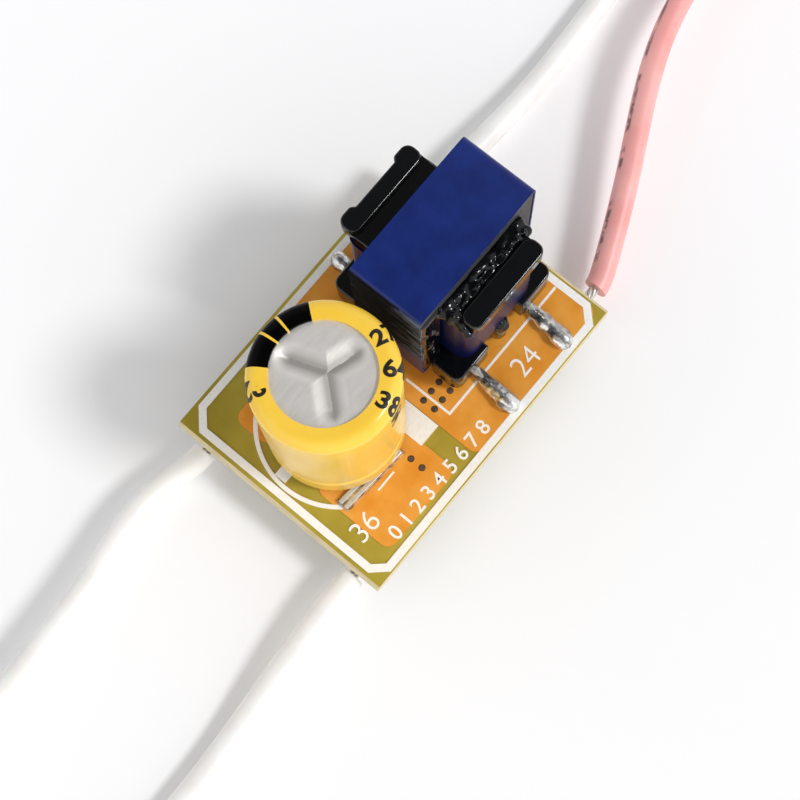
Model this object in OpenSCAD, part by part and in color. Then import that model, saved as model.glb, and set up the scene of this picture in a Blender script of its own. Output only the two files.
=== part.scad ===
// LED driver: a bare circuit board with a capacitor and an inductor on top,
// flat packages underneath that it stands on, and four leads soldered under its ends.
// Millimetres. Origin at the bottom centre, +X towards the output leads, +Z up.

/* [Board] */
// Length of the board along X, over its scored edges
board_l = 22.7; // [21:0.1:30]
// Width of the board along Y
board_w = 16.2; // [15.4:0.1:22]
// Thickness of the laminate
board_t = 1.2; // [0.8:0.1:2]
// How far the scored grooves lean in at the two short edges
score_in = 0.25; // [0.1:0.05:0.4]
// Depth of the scored groove from each face
score_depth = 0.35; // [0.2:0.05:0.38]
// Thickness of the copper areas and pads
foil_t = 0.07; // [0.03:0.01:0.15]
// Distance from the board's edge to the copper areas
copper_margin = 0.95; // [0.6:0.05:1.2]
// Distance from the board's edge to the large copper area under the inductor
area_margin = 0.5; // [0.3:0.05:0.8]
// Corner radius of the copper areas
copper_r = 0.7; // [0.2:0.1:1]
// Diameter of the through holes
via_d = 0.45; // [0.3:0.05:0.6]
// Distance between through holes along X
via_pitch_x = 0.76; // [0.7:0.02:0.9]
// Distance between through holes along Y
via_pitch_y = 0.88; // [0.7:0.02:1]

/* [Capacitor] */
// Middle of the capacitor's foot along X
cap_x = -5; // [-5.5:0.1:-4.7]
// Middle of the capacitor's foot along Y
cap_y = 0.5; // [-0.2:0.1:0.6]
// Lean of the capacitor towards the inductor, as it was soldered
cap_lean = 1.7; // [0:0.1:2.5]
// Diameter of the aluminium can
can_d = 8.2; // [7.5:0.1:8.5]
// Height of the capacitor over its sleeve
cap_h = 11.65; // [9:0.05:16]
// Radius of the can's upper rim
can_rim_r = 0.55; // [0.4:0.05:1]
// Thickness of the sleeve
sleeve_t = 0.22; // [0.15:0.01:0.3]
// Clearance between the sleeve and the can's wall
sleeve_fit = 0.03; // [0.02:0.01:0.06]
// Radius of the bare disc that the sleeve leaves open on top
sleeve_open_r = 3.05; // [2.4:0.05:3.3]
// Height of the rolled groove above the foot of the can
groove_z = 1.7; // [1.4:0.1:2.5]
// Radius of the rolled groove
groove_r = 0.45; // [0.35:0.05:0.6]
// Depth of the rolled groove in the sleeve
groove_depth = 0.18; // [0.1:0.02:0.25]
// Length of each arm of the vent
vent_arm = 2.75; // [2:0.05:2.9]
// Width of the vent's stamped valleys
vent_w = 1.1; // [0.4:0.05:1.3]
// Depth of the vent's stamped valleys
vent_depth = 0.16; // [0.08:0.01:0.25]
// Angle of the vent's first arm
vent_turn = -14; // [-60:1:60]
// How far each line of the vent runs past the middle
vent_cross = 0.04; // [0.02:0.01:0.1]
// Radius of the rubber seal
bung_r = 2.95; // [2.6:0.05:3.1]
// Thickness of the rubber seal
bung_h = 1.1; // [0.8:0.1:1.2]
// Distance between the two leads
cap_lead_pitch = 3.5; // [3:0.1:3.7]
// Diameter of a lead where it leaves the seal
cap_lead_d = 0.6; // [0.45:0.05:0.7]
// Width of a lead's flattened foot
cap_foot_w = 0.75; // [0.6:0.05:0.9]
// Thickness of a lead's flattened foot
cap_foot_t = 0.35; // [0.25:0.05:0.45]
// Distance from the capacitor's axis to the middle of a foot
cap_foot_y = 3.95; // [3.6:0.05:4.2]
// Turn of the feet out of the board's length, in degrees
cap_foot_turn = -4; // [-6:1:6]
// Length of a foot from the capacitor's axis to its cut end
cap_foot_l = 3.45; // [2.5:0.05:3.6]
// Margin of solder round a foot
cap_solder_w = 0.12; // [0.1:0.02:0.2]

/* [Inductor] */
// Centre of the inductor along X
ind_x = 5.75; // [5.6:0.05:6]
// Centre of the inductor along Y
ind_y = 0.8; // [0.4:0.05:1.2]
// Length of the core
core_l = 10; // [9.9:0.05:10.4]
// Width of the core
core_w = 5.05; // [4.6:0.05:5.15]
// Height of one core half
core_half_h = 5.5; // [5:0.1:7]
// Thickness of the core's back
core_back_t = 1.3; // [1.1:0.05:1.5]
// Width of an outer leg
core_leg_w = 1.25; // [1.1:0.05:1.3]
// Width of the middle leg
core_mid_w = 2.45; // [2.2:0.05:2.6]
// Air gap ground into the middle leg
core_gap = 0.2; // [0.05:0.05:0.5]
// Room under the core's tape, over the level of the rails
core_room = 0.06; // [0.02:0.01:0.15]
// Thickness of the tape round the core
tape_t = 0.12; // [0.06:0.02:0.16]
// Width of the tape round the core
tape_w = 5.1; // [4.6:0.05:5.2]
// Play between the bobbin and the core
bobbin_play = 0.1; // [0.05:0.01:0.15]
// Wall of the bobbin's tube
bobbin_wall = 0.45; // [0.35:0.05:0.5]
// Thickness of a bobbin flange
flange_t = 0.7; // [0.5:0.05:0.9]
// Room between the end of a flange and the core's outer leg
flange_room = 0.2; // [0.1:0.05:0.3]
// Half width of the upper flange
flange_half_w = 5.1; // [4.9:0.05:5.4]
// Length of the ribs on the upper flange
rib_l = 6.2; // [5.6:0.1:6.6]
// Width of the ribs on the upper flange
rib_w = 1.35; // [1:0.05:1.6]
// Height of the ribs over the upper flange
rib_h = 0.4; // [0.2:0.05:0.9]
// Corner radius of the ribs
rib_r = 0.55; // [0.3:0.05:0.65]
// Length of the shallow hollow in the rear rib
rib_notch_l = 3.9; // [3:0.1:4.2]
// Depth of the shallow hollow in the rear rib
rib_notch_d = 0.26; // [0.1:0.02:0.3]
// Length of the pin rails
rail_l = 9.2; // [8.8:0.1:9.6]
// Half width over the pin rails
rail_half_w = 5.0; // [4.8:0.05:5.2]
// Width of the slots between a rail's lobes
rail_slot_w = 1; // [0.6:0.05:1.2]
// Depth of the slots between a rail's lobes
rail_slot_d = 0.95; // [0.5:0.05:1.1]
// Length of the middle lobe
rail_mid_l = 1.2; // [1:0.1:1.6]
// Room between the winding's tape and the core's outer leg
winding_room = 0.425; // [0.325:0.025:0.825]
// Thickness of the tape round the winding
winding_tape_t = 0.15; // [0.05:0.01:0.18]
// Distance between the pins along X
pin_pitch = 5.3; // [5:0.1:5.6]
// Diameter of a pin
pin_d = 0.6; // [0.5:0.05:0.7]
// Distance from the end of a front pin to the board's edge
pin_front_edge = 0.5; // [0.35:0.05:1]
// Distance from the end of a rear pin to the board's edge
pin_rear_edge = 0.6; // [0.5:0.05:0.8]
// Slant of the front pins
pin_slant = 6; // [0:0.5:8]
// Radius of the solder over a pin
pin_solder_r = 0.62; // [0.55:0.01:0.66]
// How far the solder reaches past the end of a pin
pin_solder_past = 0.22; // [0.1:0.02:0.3]

/* [Parts under the board] */
// Height of the rectifier and the diodes, which the board stands on
rest_h = 2.4; // [2.2:0.05:2.8]
// Centre of the rectifier along X
bridge_x = -5.6; // [-5.8:0.05:-5.4]
// Width of the rectifier between its rows of leads
bridge_w = 3.8; // [3.6:0.05:4]
// Length of the rectifier along its rows of leads
bridge_l = 4.7; // [4.5:0.05:5]
// Span over the rectifier's leads
bridge_span = 6.8; // [6.5:0.05:7]
// Distance between leads in a row of the rectifier
bridge_pitch = 2.5; // [2.3:0.05:2.8]
// Centre of the controller along X
ic_x = 1.3; // [1.1:0.05:1.5]
// Centre of the controller along Y
ic_y = -3.2; // [-3.3:0.05:-3.1]
// Length of the controller along its rows of leads
ic_l = 4.9; // [4.7:0.05:5.1]
// Width of the controller between its rows of leads
ic_w = 3.9; // [3.7:0.05:4.1]
// Height of the controller
ic_h = 1.6; // [1.3:0.05:1.8]
// Span over the controller's leads
ic_span = 6; // [5.8:0.05:6.2]
// Distance between leads in a row of the controller
ic_pitch = 1.27; // [1.2:0.01:1.3]
// Centre of the diodes along X
diode_x = 6.8; // [6.6:0.05:7]
// Distance of each diode's centre from the board's middle line
diode_y = 2.6; // [2.5:0.05:2.8]
// Length of a diode's body
diode_l = 4.3; // [4:0.05:4.5]
// Width of a diode's body
diode_w = 2.6; // [2.4:0.05:2.8]
// Length over a diode's leads
diode_span = 5.1; // [4.9:0.05:5.3]
// Thickness of the leads of the packages
package_lead_t = 0.2; // [0.12:0.01:0.25]
// Lean of the moulded sides of the packages
package_lean = 0.15; // [0.05:0.01:0.2]
// Height of a chip resistor
resistor_h = 0.55; // [0.4:0.05:0.7]
// Height of the large ceramic capacitor
ceramic_h = 1.25; // [0.8:0.05:1.6]
// Height of the small ceramic capacitors
ceramic_small_h = 0.85; // [0.6:0.05:1.25]
// Length of a chip's metal end
terminal_l = 0.45; // [0.25:0.05:0.55]
// Thickness of a chip's metal end
terminal_t = 0.05; // [0.03:0.01:0.08]

/* [Leads] */
// Outer diameter of a lead
lead_d = 1.6; // [1.3:0.05:1.8]
// Diameter of a lead's conductor
conductor_d = 0.7; // [0.5:0.05:0.8]
// Length of a conductor on its pad, from the board's edge
conductor_on_pad = 2.2; // [1.6:0.1:2.6]
// Solder under a conductor, between it and its pad
conductor_seat = 0.05; // [0.02:0.01:0.1]
// Radius of the solder round a conductor
lead_solder_r = 0.75; // [0.6:0.05:0.8]
// Length of a lead's tinned tip
tip_l = 5; // [3:0.5:8]

/* [Hidden] */
$fn = 48;
ROUND_FN = 32;
LEAD_SIDES = 8;

// Levels, from the surface that the board stands on
board_z = rest_h + foil_t;
top_z = board_z + board_t;
copper_z = top_z + foil_t;
half_l = board_l / 2;
half_w = board_w / 2;

// Capacitor
sleeve_r = can_d / 2 + sleeve_fit + sleeve_t;
cap_z = copper_z + cap_foot_t;
can_z = cap_z + sleeve_t;
can_h = cap_h - 2 * sleeve_t;
groove_x = sleeve_r + groove_r - groove_depth;
cap_lead_turn = -50;
cap_lift = sleeve_r * sin(cap_lean);
cap_post_top = can_z + cap_lift + bung_h - (cap_lead_pitch / 2 + cap_lead_d) * sin(cap_lean) - 0.03;
cap_post = cap_lead_pitch / 2 * [cos(cap_lead_turn), sin(cap_lead_turn)];

// Inductor
rail_z = copper_z + pin_d;
core_z = rail_z + core_room + tape_t;
core_y = ind_y - 0.8 * bobbin_play;
core_h = 2 * core_half_h;
window_z = core_z + core_back_t;
window_top = core_z + core_h - core_back_t;
lower_flange_z = window_z + bobbin_play;
winding_z = lower_flange_z + flange_t;
upper_flange_z = window_top - bobbin_play - flange_t;
winding_h = upper_flange_z - winding_z;
hole_l = core_mid_w + 2 * bobbin_play;
hole_w = core_w + 2 * bobbin_play;
tube_l = hole_l + 2 * bobbin_wall;
tube_w = hole_w + 2 * bobbin_wall;
window_l = (core_l - 2 * core_leg_w - core_mid_w) / 2;
flange_l = core_l - 2 * core_leg_w - 2 * flange_room;
winding_t = window_l - bobbin_play - bobbin_wall - winding_tape_t - winding_room;
winding_l = tube_l + 2 * winding_t;
winding_w = tube_w + 2 * winding_t;
side_in = max(core_w, tape_w) / 2 + bobbin_play;
rail_mid = (side_in + rail_half_w) / 2;
pin_z = copper_z + pin_d / 2;
front_pin_l = half_w - pin_front_edge + ind_y - rail_mid;
rear_pin_l = half_w - pin_rear_edge - ind_y - rail_mid;

// Middles of the groups of through holes: [x, y, columns, rows]
VIA_GROUPS = [[0.66, -3.24, 4, 2], [-3.82, -4.98, 1, 2]];

// Chips under the board: [x, y, turn]
CHIP = [3.2, 1.6];
SMALL_CHIP = [2, 1.25];
RESISTORS = [[-5.8, 5.8, 0], [-6, -5.9, 0], [0.2, 3.2, 0], [0.2, 5.6, 0], [6, -6.1, 0], [2.9, 2.6, 90]];
CERAMIC = [10, 0, 90];
SMALL_CERAMICS = [[-1, 1, 90], [-2.6, -5.2, 90]];

// Route of each lead, from its stripped end at the board to its tip
AC_ROUTE_A = [
    [-11.5, 6, 2], [-12.5, 6, 2], [-14.4, 6.7, 2.1], [-16.8, 6.9, 2.3],
    [-19.8, 6.45, 2.4], [-23.4, 5.92, 2.5], [-27.6, 5.75, 2.5], [-32, 5.6, 2.4],
    [-35.5, 5.5, 2.1], [-39, 5.35, 1.6], [-42.5, 5.15, 1.2], [-46, 4.9, 0.9],
    [-49.5, 4.7, 0.8], [-53, 4.5, 0.8], [-57, 4.4, 0.8], [-62, 4.4, 0.8]
];
AC_ROUTE_B = [
    [-11.5, -6.2, 2], [-13.3, -6.2, 2], [-16, -6.3, 1.8], [-19, -6.4, 1.4],
    [-22, -6.6, 1], [-25, -6.8, 0.8], [-28.5, -6.9, 0.8], [-32, -6.9, 0.8],
    [-35.5, -6.7, 0.8], [-39, -6.3, 0.8], [-42.5, -5.8, 0.8], [-46, -5.3, 0.8],
    [-49.5, -4.9, 0.8], [-53, -4.6, 0.8], [-57, -4.5, 0.8], [-62, -4.5, 0.8]
];
POSITIVE_ROUTE = [
    [12.4, -6.4, 2], [12.9, -6.4, 2], [14.2, -5.85, 2.15], [16.6, -4.8, 2.4],
    [19.2, -3.6, 2.7], [22.2, -2.05, 2.9], [25.3, -0.5, 3], [28.4, 0.75, 3],
    [32, 1.6, 2.9], [36, 2, 2.4], [40, 2, 1.8], [43.6, 1.7, 1.3],
    [47.2, 1.1, 0.95], [51, 0.5, 0.8], [55.5, 0, 0.8], [60.5, 0, 0.8]
];
NEGATIVE_ROUTE = [
    [11.9, 5.65, 2], [13.5, 5.65, 2], [16, 5.6, 1.8], [19, 5.5, 1.4],
    [22, 5.55, 1], [25, 5.7, 0.8], [28.5, 5.95, 0.8], [32, 6.1, 0.8],
    [35.5, 6, 0.8], [39, 5.75, 0.8], [42.5, 5.45, 0.8], [46, 5.1, 0.8],
    [49.5, 4.8, 0.8], [53, 4.6, 0.8], [57, 4.5, 0.8], [62, 4.5, 0.8]
];
ROUTES = [AC_ROUTE_A, AC_ROUTE_B, POSITIVE_ROUTE, NEGATIVE_ROUTE];

// Shared shapes

module rounded_square(l, w, r) {
    square([l - 2 * r, w], center = true);
    square([l, w - 2 * r], center = true);
    for (sx = [-1, 1], sy = [-1, 1])
        translate([sx * (l / 2 - r), sy * (w / 2 - r)])
            circle(r, $fn = ROUND_FN);
}

module rounded_area(low, high, r) {
    translate((low + high) / 2)
        rounded_square(high.x - low.x, high.y - low.y, r);
}

// Profile in X and Z, drawn out along Y about the middle
module drawn_along_y(w) {
    rotate([90, 0, 0])
        linear_extrude(w, center = true)
            children();
}

// A rod with round ends from the origin along X
module capsule(r, l) {
    rotate([0, 90, 0]) cylinder(r = r, h = l);
    sphere(r);
    translate([l, 0, 0]) sphere(r);
}

// Places a piece on the pads under the board, with its own +Z pointing down
module under(place, turn = 0) {
    translate([place.x, place.y, rest_h])
        rotate([180, 0, turn])
            children();
}

// Board

module via_holes() {
    for (g = VIA_GROUPS, i = [0 : g[2] - 1], j = [0 : g[3] - 1])
        translate([g.x + (i - (g[2] - 1) / 2) * via_pitch_x, g.y + (j - (g[3] - 1) / 2) * via_pitch_y, 0])
            cylinder(d = via_d, h = copper_z + 1);
}

module board_section() {
    polygon([
        [-half_l + score_in, 0], [half_l - score_in, 0],
        [half_l, score_depth], [half_l, board_t - score_depth],
        [half_l - score_in, board_t], [-half_l + score_in, board_t],
        [-half_l, board_t - score_depth], [-half_l, score_depth]
    ]);
}

module circuit_board() {
    color("olive")
        difference() {
            translate([0, 0, board_z])
                drawn_along_y(board_w)
                    board_section();
            via_holes();
        }
}

module top_copper() {
    cap_area = [[-half_l + 2.3, -half_w + copper_margin], [-2.6, -1.2]];
    cap_rear_area = [[-half_l + 2.5, 2.8], [-1.35, half_w - 2.5]];
    inductor_area = [[-1.1, -half_w + area_margin], [half_l - area_margin, half_w - area_margin]];
    color("orange")
        difference() {
            translate([0, 0, top_z])
                linear_extrude(foil_t)
                    for (a = [cap_area, cap_rear_area, inductor_area])
                        rounded_area(a[0], a[1], copper_r);
            via_holes();
        }
}

module pad(place, size) {
    translate([place.x, place.y, rest_h])
        linear_extrude(foil_t)
            square(size, center = true);
}

module chip_pads(place, size) {
    for (side = [-1, 1])
        translate([place.x, place.y, 0])
            rotate(place[2])
                pad([side * size.x / 2, 0], [size.x * 0.35, size.y + 0.2]);
}

module bottom_copper() {
    color("silver")
        difference() {
            union() {
                for (r = RESISTORS) chip_pads(r, CHIP);
                for (c = SMALL_CERAMICS) chip_pads(c, SMALL_CHIP);
                chip_pads(CERAMIC, CHIP);
                for (sx = [-1, 1], sy = [-1, 1]) {
                    pad([bridge_x + sx * (bridge_span / 2 - 0.4), sy * bridge_pitch / 2], [1.2, 1]);
                    pad([diode_x + sx * (diode_span / 2 - 0.6), sy * diode_y], [1.8, 1.7]);
                }
                for (sy = [-1, 1], i = [-1.5 : 1.5])
                    pad([ic_x + i * ic_pitch, ic_y + sy * (ic_span / 2 - 0.4)], [0.6, 1.2]);
                for (r = ROUTES)
                    pad([sign(r[0].x) * (half_l - 0.3 - conductor_on_pad / 2), r[0].y],
                        [conductor_on_pad, 2 * lead_solder_r + 0.6]);
            }
            via_holes();
        }
}

// Capacitor

// Places a piece of the capacitor at a height along its leaning axis
module on_capacitor(z) {
    translate([cap_x, cap_y, cap_z + cap_lift])
        rotate([0, cap_lean, 0])
            translate([0, 0, z - cap_z])
                children();
}

// Half section of the can's outside, without its groove
module can_half(r, h, rim) {
    square([r - rim, h]);
    square([r, h - rim]);
    translate([r - rim, h - rim]) circle(rim);
}

module capacitor_can() {
    color("gainsboro")
        on_capacitor(can_z)
            difference() {
                rotate_extrude()
                    difference() {
                        intersection() {
                            can_half(can_d / 2, can_h, can_rim_r);
                            square([can_d, can_h]);
                        }
                        square([bung_r, bung_h]);
                        translate([groove_x, groove_z]) circle(groove_r + sleeve_t + sleeve_fit);
                    }
                for (i = [0 : 2])
                    rotate([90, 0, vent_turn + 120 * i + 90])
                        translate([0, can_h, -vent_cross])
                            linear_extrude(vent_arm + vent_cross)
                                polygon([[-vent_w / 2, 0.01], [0, -vent_depth], [vent_w / 2, 0.01]]);
            }
}

module capacitor_sleeve() {
    inner_r = sleeve_r - sleeve_t;
    foot_open_r = bung_r + 0.3;
    color("gold")
        on_capacitor(cap_z)
            rotate_extrude()
                difference() {
                    union() {
                        difference() {
                            can_half(sleeve_r, cap_h, can_rim_r + sleeve_t);
                            translate([0, sleeve_t]) can_half(inner_r, can_h, can_rim_r + sleeve_fit);
                        }
                        intersection() {
                            translate([groove_x, groove_z + sleeve_t]) circle(groove_r + sleeve_t);
                            square([sleeve_r, cap_h / 2]);
                        }
                    }
                    translate([groove_x, groove_z + sleeve_t]) circle(groove_r);
                    translate([0, cap_h / 2]) square([sleeve_open_r, cap_h]);
                    translate([0, -1]) square([foot_open_r, cap_h / 2]);
                }
}

module capacitor_bung() {
    color("dimgray")
        difference() {
            on_capacitor(can_z)
                cylinder(r = bung_r, h = bung_h);
            for (s = [-1, 1])
                translate([cap_x + s * cap_post.x, cap_y + s * cap_post.y, copper_z])
                    cylinder(d = cap_lead_d, h = cap_post_top - copper_z);
        }
}

// Outline of a foot: from its post out to the side, then along the board to its cut end
module foot_outline(extra = 0) {
    bend_x = cap_post.x + cap_lead_d / 2;
    rotate(cap_foot_turn)
        translate([-cap_foot_l - extra, -cap_foot_y - cap_foot_w / 2 - extra])
            square([cap_foot_l + bend_x + 2 * extra, cap_foot_w + 2 * extra]);
}

module cap_lead() {
    difference() {
        union() {
            linear_extrude(cap_foot_t) {
                foot_outline();
                translate([cap_post.x - cap_lead_d / 2, -cap_foot_y])
                    square([cap_lead_d, cap_foot_y + cap_post.y]);
                translate(cap_post) circle(d = cap_lead_d);
            }
            translate([cap_post.x, cap_post.y, 0])
                cylinder(d = cap_lead_d, h = cap_post_top - copper_z);
        }
        rotate(cap_foot_turn)
            translate([-cap_foot_l - 1, -cap_foot_y - 0.08, cap_foot_t - 0.1])
                cube([cap_foot_l + cap_post.x, 0.16, 1]);
    }
}

module capacitor_leads() {
    color("silver")
        for (turn = [0, 180])
            translate([cap_x, cap_y, copper_z])
                rotate(turn)
                    cap_lead();
}

module capacitor_solder() {
    color("lightgray")
        for (turn = [0, 180])
            translate([cap_x, cap_y, copper_z])
                rotate(turn)
                    difference() {
                        hull() {
                            linear_extrude(0.02) foot_outline(cap_solder_w);
                            translate([0, 0, cap_foot_t * 0.7])
                                linear_extrude(0.02)
                                    foot_outline(cap_solder_w / 4);
                        }
                        cap_lead();
                    }
}

// Inductor

// One E half, back down, with its middle leg cut short by the gap
module core_half(gap) {
    drawn_along_y(core_w)
        difference() {
            translate([-core_l / 2, 0]) square([core_l, core_half_h]);
            for (side = [-1, 1])
                translate([side * (core_mid_w + window_l) / 2, core_back_t + core_half_h / 2])
                    square([window_l, core_half_h], center = true);
            if (gap > 0)
                translate([0, core_half_h])
                    square([core_mid_w + 0.02, 2 * gap], center = true);
        }
}

module core_lower() {
    color("dimgray")
        translate([ind_x, core_y, core_z])
            core_half(0);
}

module core_upper() {
    color("dimgray")
        translate([ind_x, core_y, core_z + core_h])
            rotate([180, 0, 0])
                core_half(core_gap);
}

module core_tape() {
    color("midnightblue")
        translate([ind_x, core_y, core_z + core_half_h])
            drawn_along_y(tape_w)
                difference() {
                    rounded_square(core_l + 2 * tape_t, core_h + 2 * tape_t, 0.2);
                    square([core_l, core_h], center = true);
                }
}

module rail_outline() {
    lobe_r = rail_mid_l / 2;
    difference() {
        rounded_area([-rail_l / 2, side_in], [rail_l / 2, rail_half_w], 0.6);
        translate([0, rail_half_w])
            square([rail_mid_l + 2 * rail_slot_w, 2 * rail_slot_d], center = true);
    }
    translate([-lobe_r, side_in])
        square([rail_mid_l, rail_half_w - lobe_r - side_in]);
    translate([0, rail_half_w - lobe_r])
        circle(lobe_r, $fn = ROUND_FN);
}

// The rear edge of the upper flange and its rib, with a shallow hollow in its middle
module flange_side(inner, hollow) {
    half = rib_notch_l / 2;
    difference() {
        rounded_area([-rib_l / 2, inner], [rib_l / 2, flange_half_w], rib_r);
        if (hollow)
            translate([0, flange_half_w])
                polygon([
                    [-half - rib_notch_d, rib_notch_d], [half + rib_notch_d, rib_notch_d],
                    [half - rib_notch_d, -rib_notch_d], [rib_notch_d - half, -rib_notch_d]
                ]);
    }
}

// Both sides of the upper flange; only the rear one is hollowed
module flange_sides(inner) {
    flange_side(inner, true);
    mirror([0, 1]) flange_side(inner, false);
}

module upper_flange_outline() {
    square([flange_l, 2 * side_in], center = true);
    flange_sides(side_in - 1);
}

module lower_flange_outline() {
    square([flange_l, 2 * side_in + 1], center = true);
    for (side = [0, 1])
        mirror([0, side])
            rail_outline();
}

module bobbin() {
    color("black")
        translate([ind_x, ind_y, 0])
            difference() {
                union() {
                    translate([0, 0, lower_flange_z])
                        linear_extrude(upper_flange_z + flange_t - lower_flange_z)
                            square([tube_l, tube_w], center = true);
                    translate([0, 0, lower_flange_z])
                        linear_extrude(flange_t)
                            lower_flange_outline();
                    translate([0, 0, rail_z])
                        linear_extrude(lower_flange_z + flange_t - rail_z)
                            for (side = [0, 1])
                                mirror([0, side])
                                    rail_outline();
                    translate([0, 0, upper_flange_z])
                        linear_extrude(flange_t)
                            upper_flange_outline();
                    translate([0, 0, upper_flange_z])
                        linear_extrude(flange_t + rib_h)
                            flange_sides(flange_half_w - rib_w);
                }
                translate([0, 0, lower_flange_z - 1])
                    linear_extrude(core_h)
                        square([hole_l, hole_w], center = true);
                for (sx = [-1, 1], sy = [-1, 1])
                    translate([sx * pin_pitch / 2, sy * rail_mid, 0])
                        cylinder(d = pin_d, h = lower_flange_z);
            }
}

module winding() {
    color("sienna")
        translate([ind_x, ind_y, winding_z])
            linear_extrude(winding_h)
                difference() {
                    rounded_square(winding_l, winding_w, 0.9);
                    square([tube_l, tube_w], center = true);
                }
}

module winding_tape() {
    color("navy")
        translate([ind_x, ind_y, winding_z])
            linear_extrude(winding_h)
                difference() {
                    rounded_square(
                        winding_l + 2 * winding_tape_t, winding_w + 2 * winding_tape_t, 0.9 + winding_tape_t);
                    rounded_square(winding_l, winding_w, 0.9);
                }
}

// One bobbin pin, from its place in the rail down to the board and out along -Y
module bent_pin(l) {
    cylinder(d = pin_d, h = lower_flange_z - pin_z);
    sphere(d = pin_d);
    rotate([90, 0, 0]) cylinder(d = pin_d, h = l);
}

module at_pins() {
    for (sx = [-1, 1]) {
        translate([ind_x + sx * pin_pitch / 2, ind_y - rail_mid, pin_z])
            rotate(-pin_slant) {
                $pin_l = front_pin_l / cos(pin_slant);
                children();
            }
        translate([ind_x + sx * pin_pitch / 2, ind_y + rail_mid, pin_z])
            rotate(180) {
                $pin_l = rear_pin_l;
                children();
            }
    }
}

module transformer_pins() {
    color("silver")
        at_pins() bent_pin($pin_l);
}

module pin_solder() {
    start = rail_half_w - rail_mid + pin_solder_r + 0.08;
    color("lightgray")
        at_pins()
            difference() {
                intersection() {
                    translate([0, -start, pin_solder_r * 0.2 - pin_d / 2])
                        rotate(-90)
                            capsule(pin_solder_r, $pin_l + pin_solder_past - pin_solder_r - start);
                    translate([-5, -20, -pin_d / 2]) cube([10, 20, 5]);
                }
                bent_pin($pin_l);
            }
}

// Packages under the board

module hexagon_side(l, low, high) {
    middle = (low + high) / 2;
    polygon([
        [-l / 2 + package_lean, low], [l / 2 - package_lean, low], [l / 2, middle],
        [l / 2 - package_lean, high], [-l / 2 + package_lean, high], [-l / 2, middle]
    ]);
}

// A moulded package, widest at the level of its leads
module moulded_body(l, w, low, high) {
    intersection() {
        drawn_along_y(w + 1) hexagon_side(l, low, high);
        rotate(90) drawn_along_y(l + 1) hexagon_side(w, low, high);
    }
}

// A lead bent down and out: from inside the body at x = start to its foot's end at x = reach
module gull_lead(start, shoulder, reach, level, w) {
    t = package_lead_t;
    drawn_along_y(w)
        polygon([
            [start, level + t / 2], [shoulder, level + t / 2], [shoulder + 0.15, t], [reach, t],
            [reach, 0], [shoulder + 0.15 - t, 0], [shoulder - t, level - t / 2], [start, level - t / 2]
        ]);
}

// A lead bent down and under: from inside the body out to x = reach and back to x = foot
module folded_lead(start, reach, foot, level, w) {
    t = package_lead_t;
    drawn_along_y(w)
        polygon([
            [start, level + t / 2], [reach, level + t / 2], [reach, 0], [foot, 0],
            [foot, t], [reach - t, t], [reach - t, level - t / 2], [start, level - t / 2]
        ]);
}

bridge_low = 0.1;
bridge_level = (bridge_low + rest_h) / 2;

module bridge_lead_set() {
    for (turn = [0, 180], sy = [-1, 1])
        rotate(turn)
            translate([0, sy * bridge_pitch / 2, 0])
                gull_lead(bridge_w / 2 - 0.5, bridge_w / 2 + 0.45, bridge_span / 2, bridge_level, 0.65);
}

module bridge_body() {
    color("black")
        under([bridge_x, 0])
            difference() {
                moulded_body(bridge_w, bridge_l, bridge_low, rest_h);
                bridge_lead_set();
            }
}

module bridge_leads() {
    color("silver")
        under([bridge_x, 0])
            bridge_lead_set();
}

module ic_lead_set() {
    for (turn = [90, 270], i = [-1.5 : 1.5])
        rotate(turn)
            translate([0, i * ic_pitch, 0])
                gull_lead(ic_w / 2 - 0.5, ic_w / 2 + 0.35, ic_span / 2, ic_h / 2, 0.42);
}

module driver_ic_body() {
    color("black")
        under([ic_x, ic_y])
            difference() {
                moulded_body(ic_l, ic_w, 0.1, ic_h);
                ic_lead_set();
            }
}

module driver_ic_leads() {
    color("silver")
        under([ic_x, ic_y])
            ic_lead_set();
}

diode_low = package_lead_t + 0.03;
diode_level = (diode_low + rest_h) / 2;

module at_diodes() {
    for (side = [-1, 1])
        under([diode_x, side * diode_y])
            children();
}

module diode_lead_set() {
    for (turn = [0, 180])
        rotate(turn)
            folded_lead(diode_l / 2 - 0.5, diode_span / 2, diode_span / 2 - 1.3, diode_level, 1.45);
}

module diode_bodies() {
    color("black")
        at_diodes()
            difference() {
                moulded_body(diode_l, diode_w, diode_low, rest_h);
                diode_lead_set();
            }
}

module diode_leads() {
    color("silver")
        at_diodes()
            diode_lead_set();
}

// Chips under the board

module chip_body(size, h) {
    t = terminal_t;
    translate([-size.x / 2 + t, -size.y / 2, t])
        cube([size.x - 2 * t, size.y, h - 2 * t]);
}

module chip_terminals(size, h) {
    difference() {
        for (side = [-1, 1])
            translate([side * (size.x - terminal_l) / 2, 0, h / 2])
                cube([terminal_l, size.y, h], center = true);
        chip_body(size, h);
    }
}

module at_ceramics() {
    under(CERAMIC, -CERAMIC[2]) {
        $size = CHIP;
        $h = ceramic_h;
        children();
    }
    for (c = SMALL_CERAMICS)
        under(c, -c[2]) {
            $size = SMALL_CHIP;
            $h = ceramic_small_h;
            children();
        }
}

module chip_resistors() {
    color("black")
        for (r = RESISTORS)
            under(r, -r[2])
                chip_body(CHIP, resistor_h);
}

module resistor_terminals() {
    color("silver")
        for (r = RESISTORS)
            under(r, -r[2])
                chip_terminals(CHIP, resistor_h);
}

module ceramic_capacitors() {
    color("tan")
        at_ceramics() chip_body($size, $h);
}

module ceramic_terminals() {
    color("silver")
        at_ceramics() chip_terminals($size, $h);
}

// Leads

conductor_z = rest_h - conductor_seat - conductor_d / 2;

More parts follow.
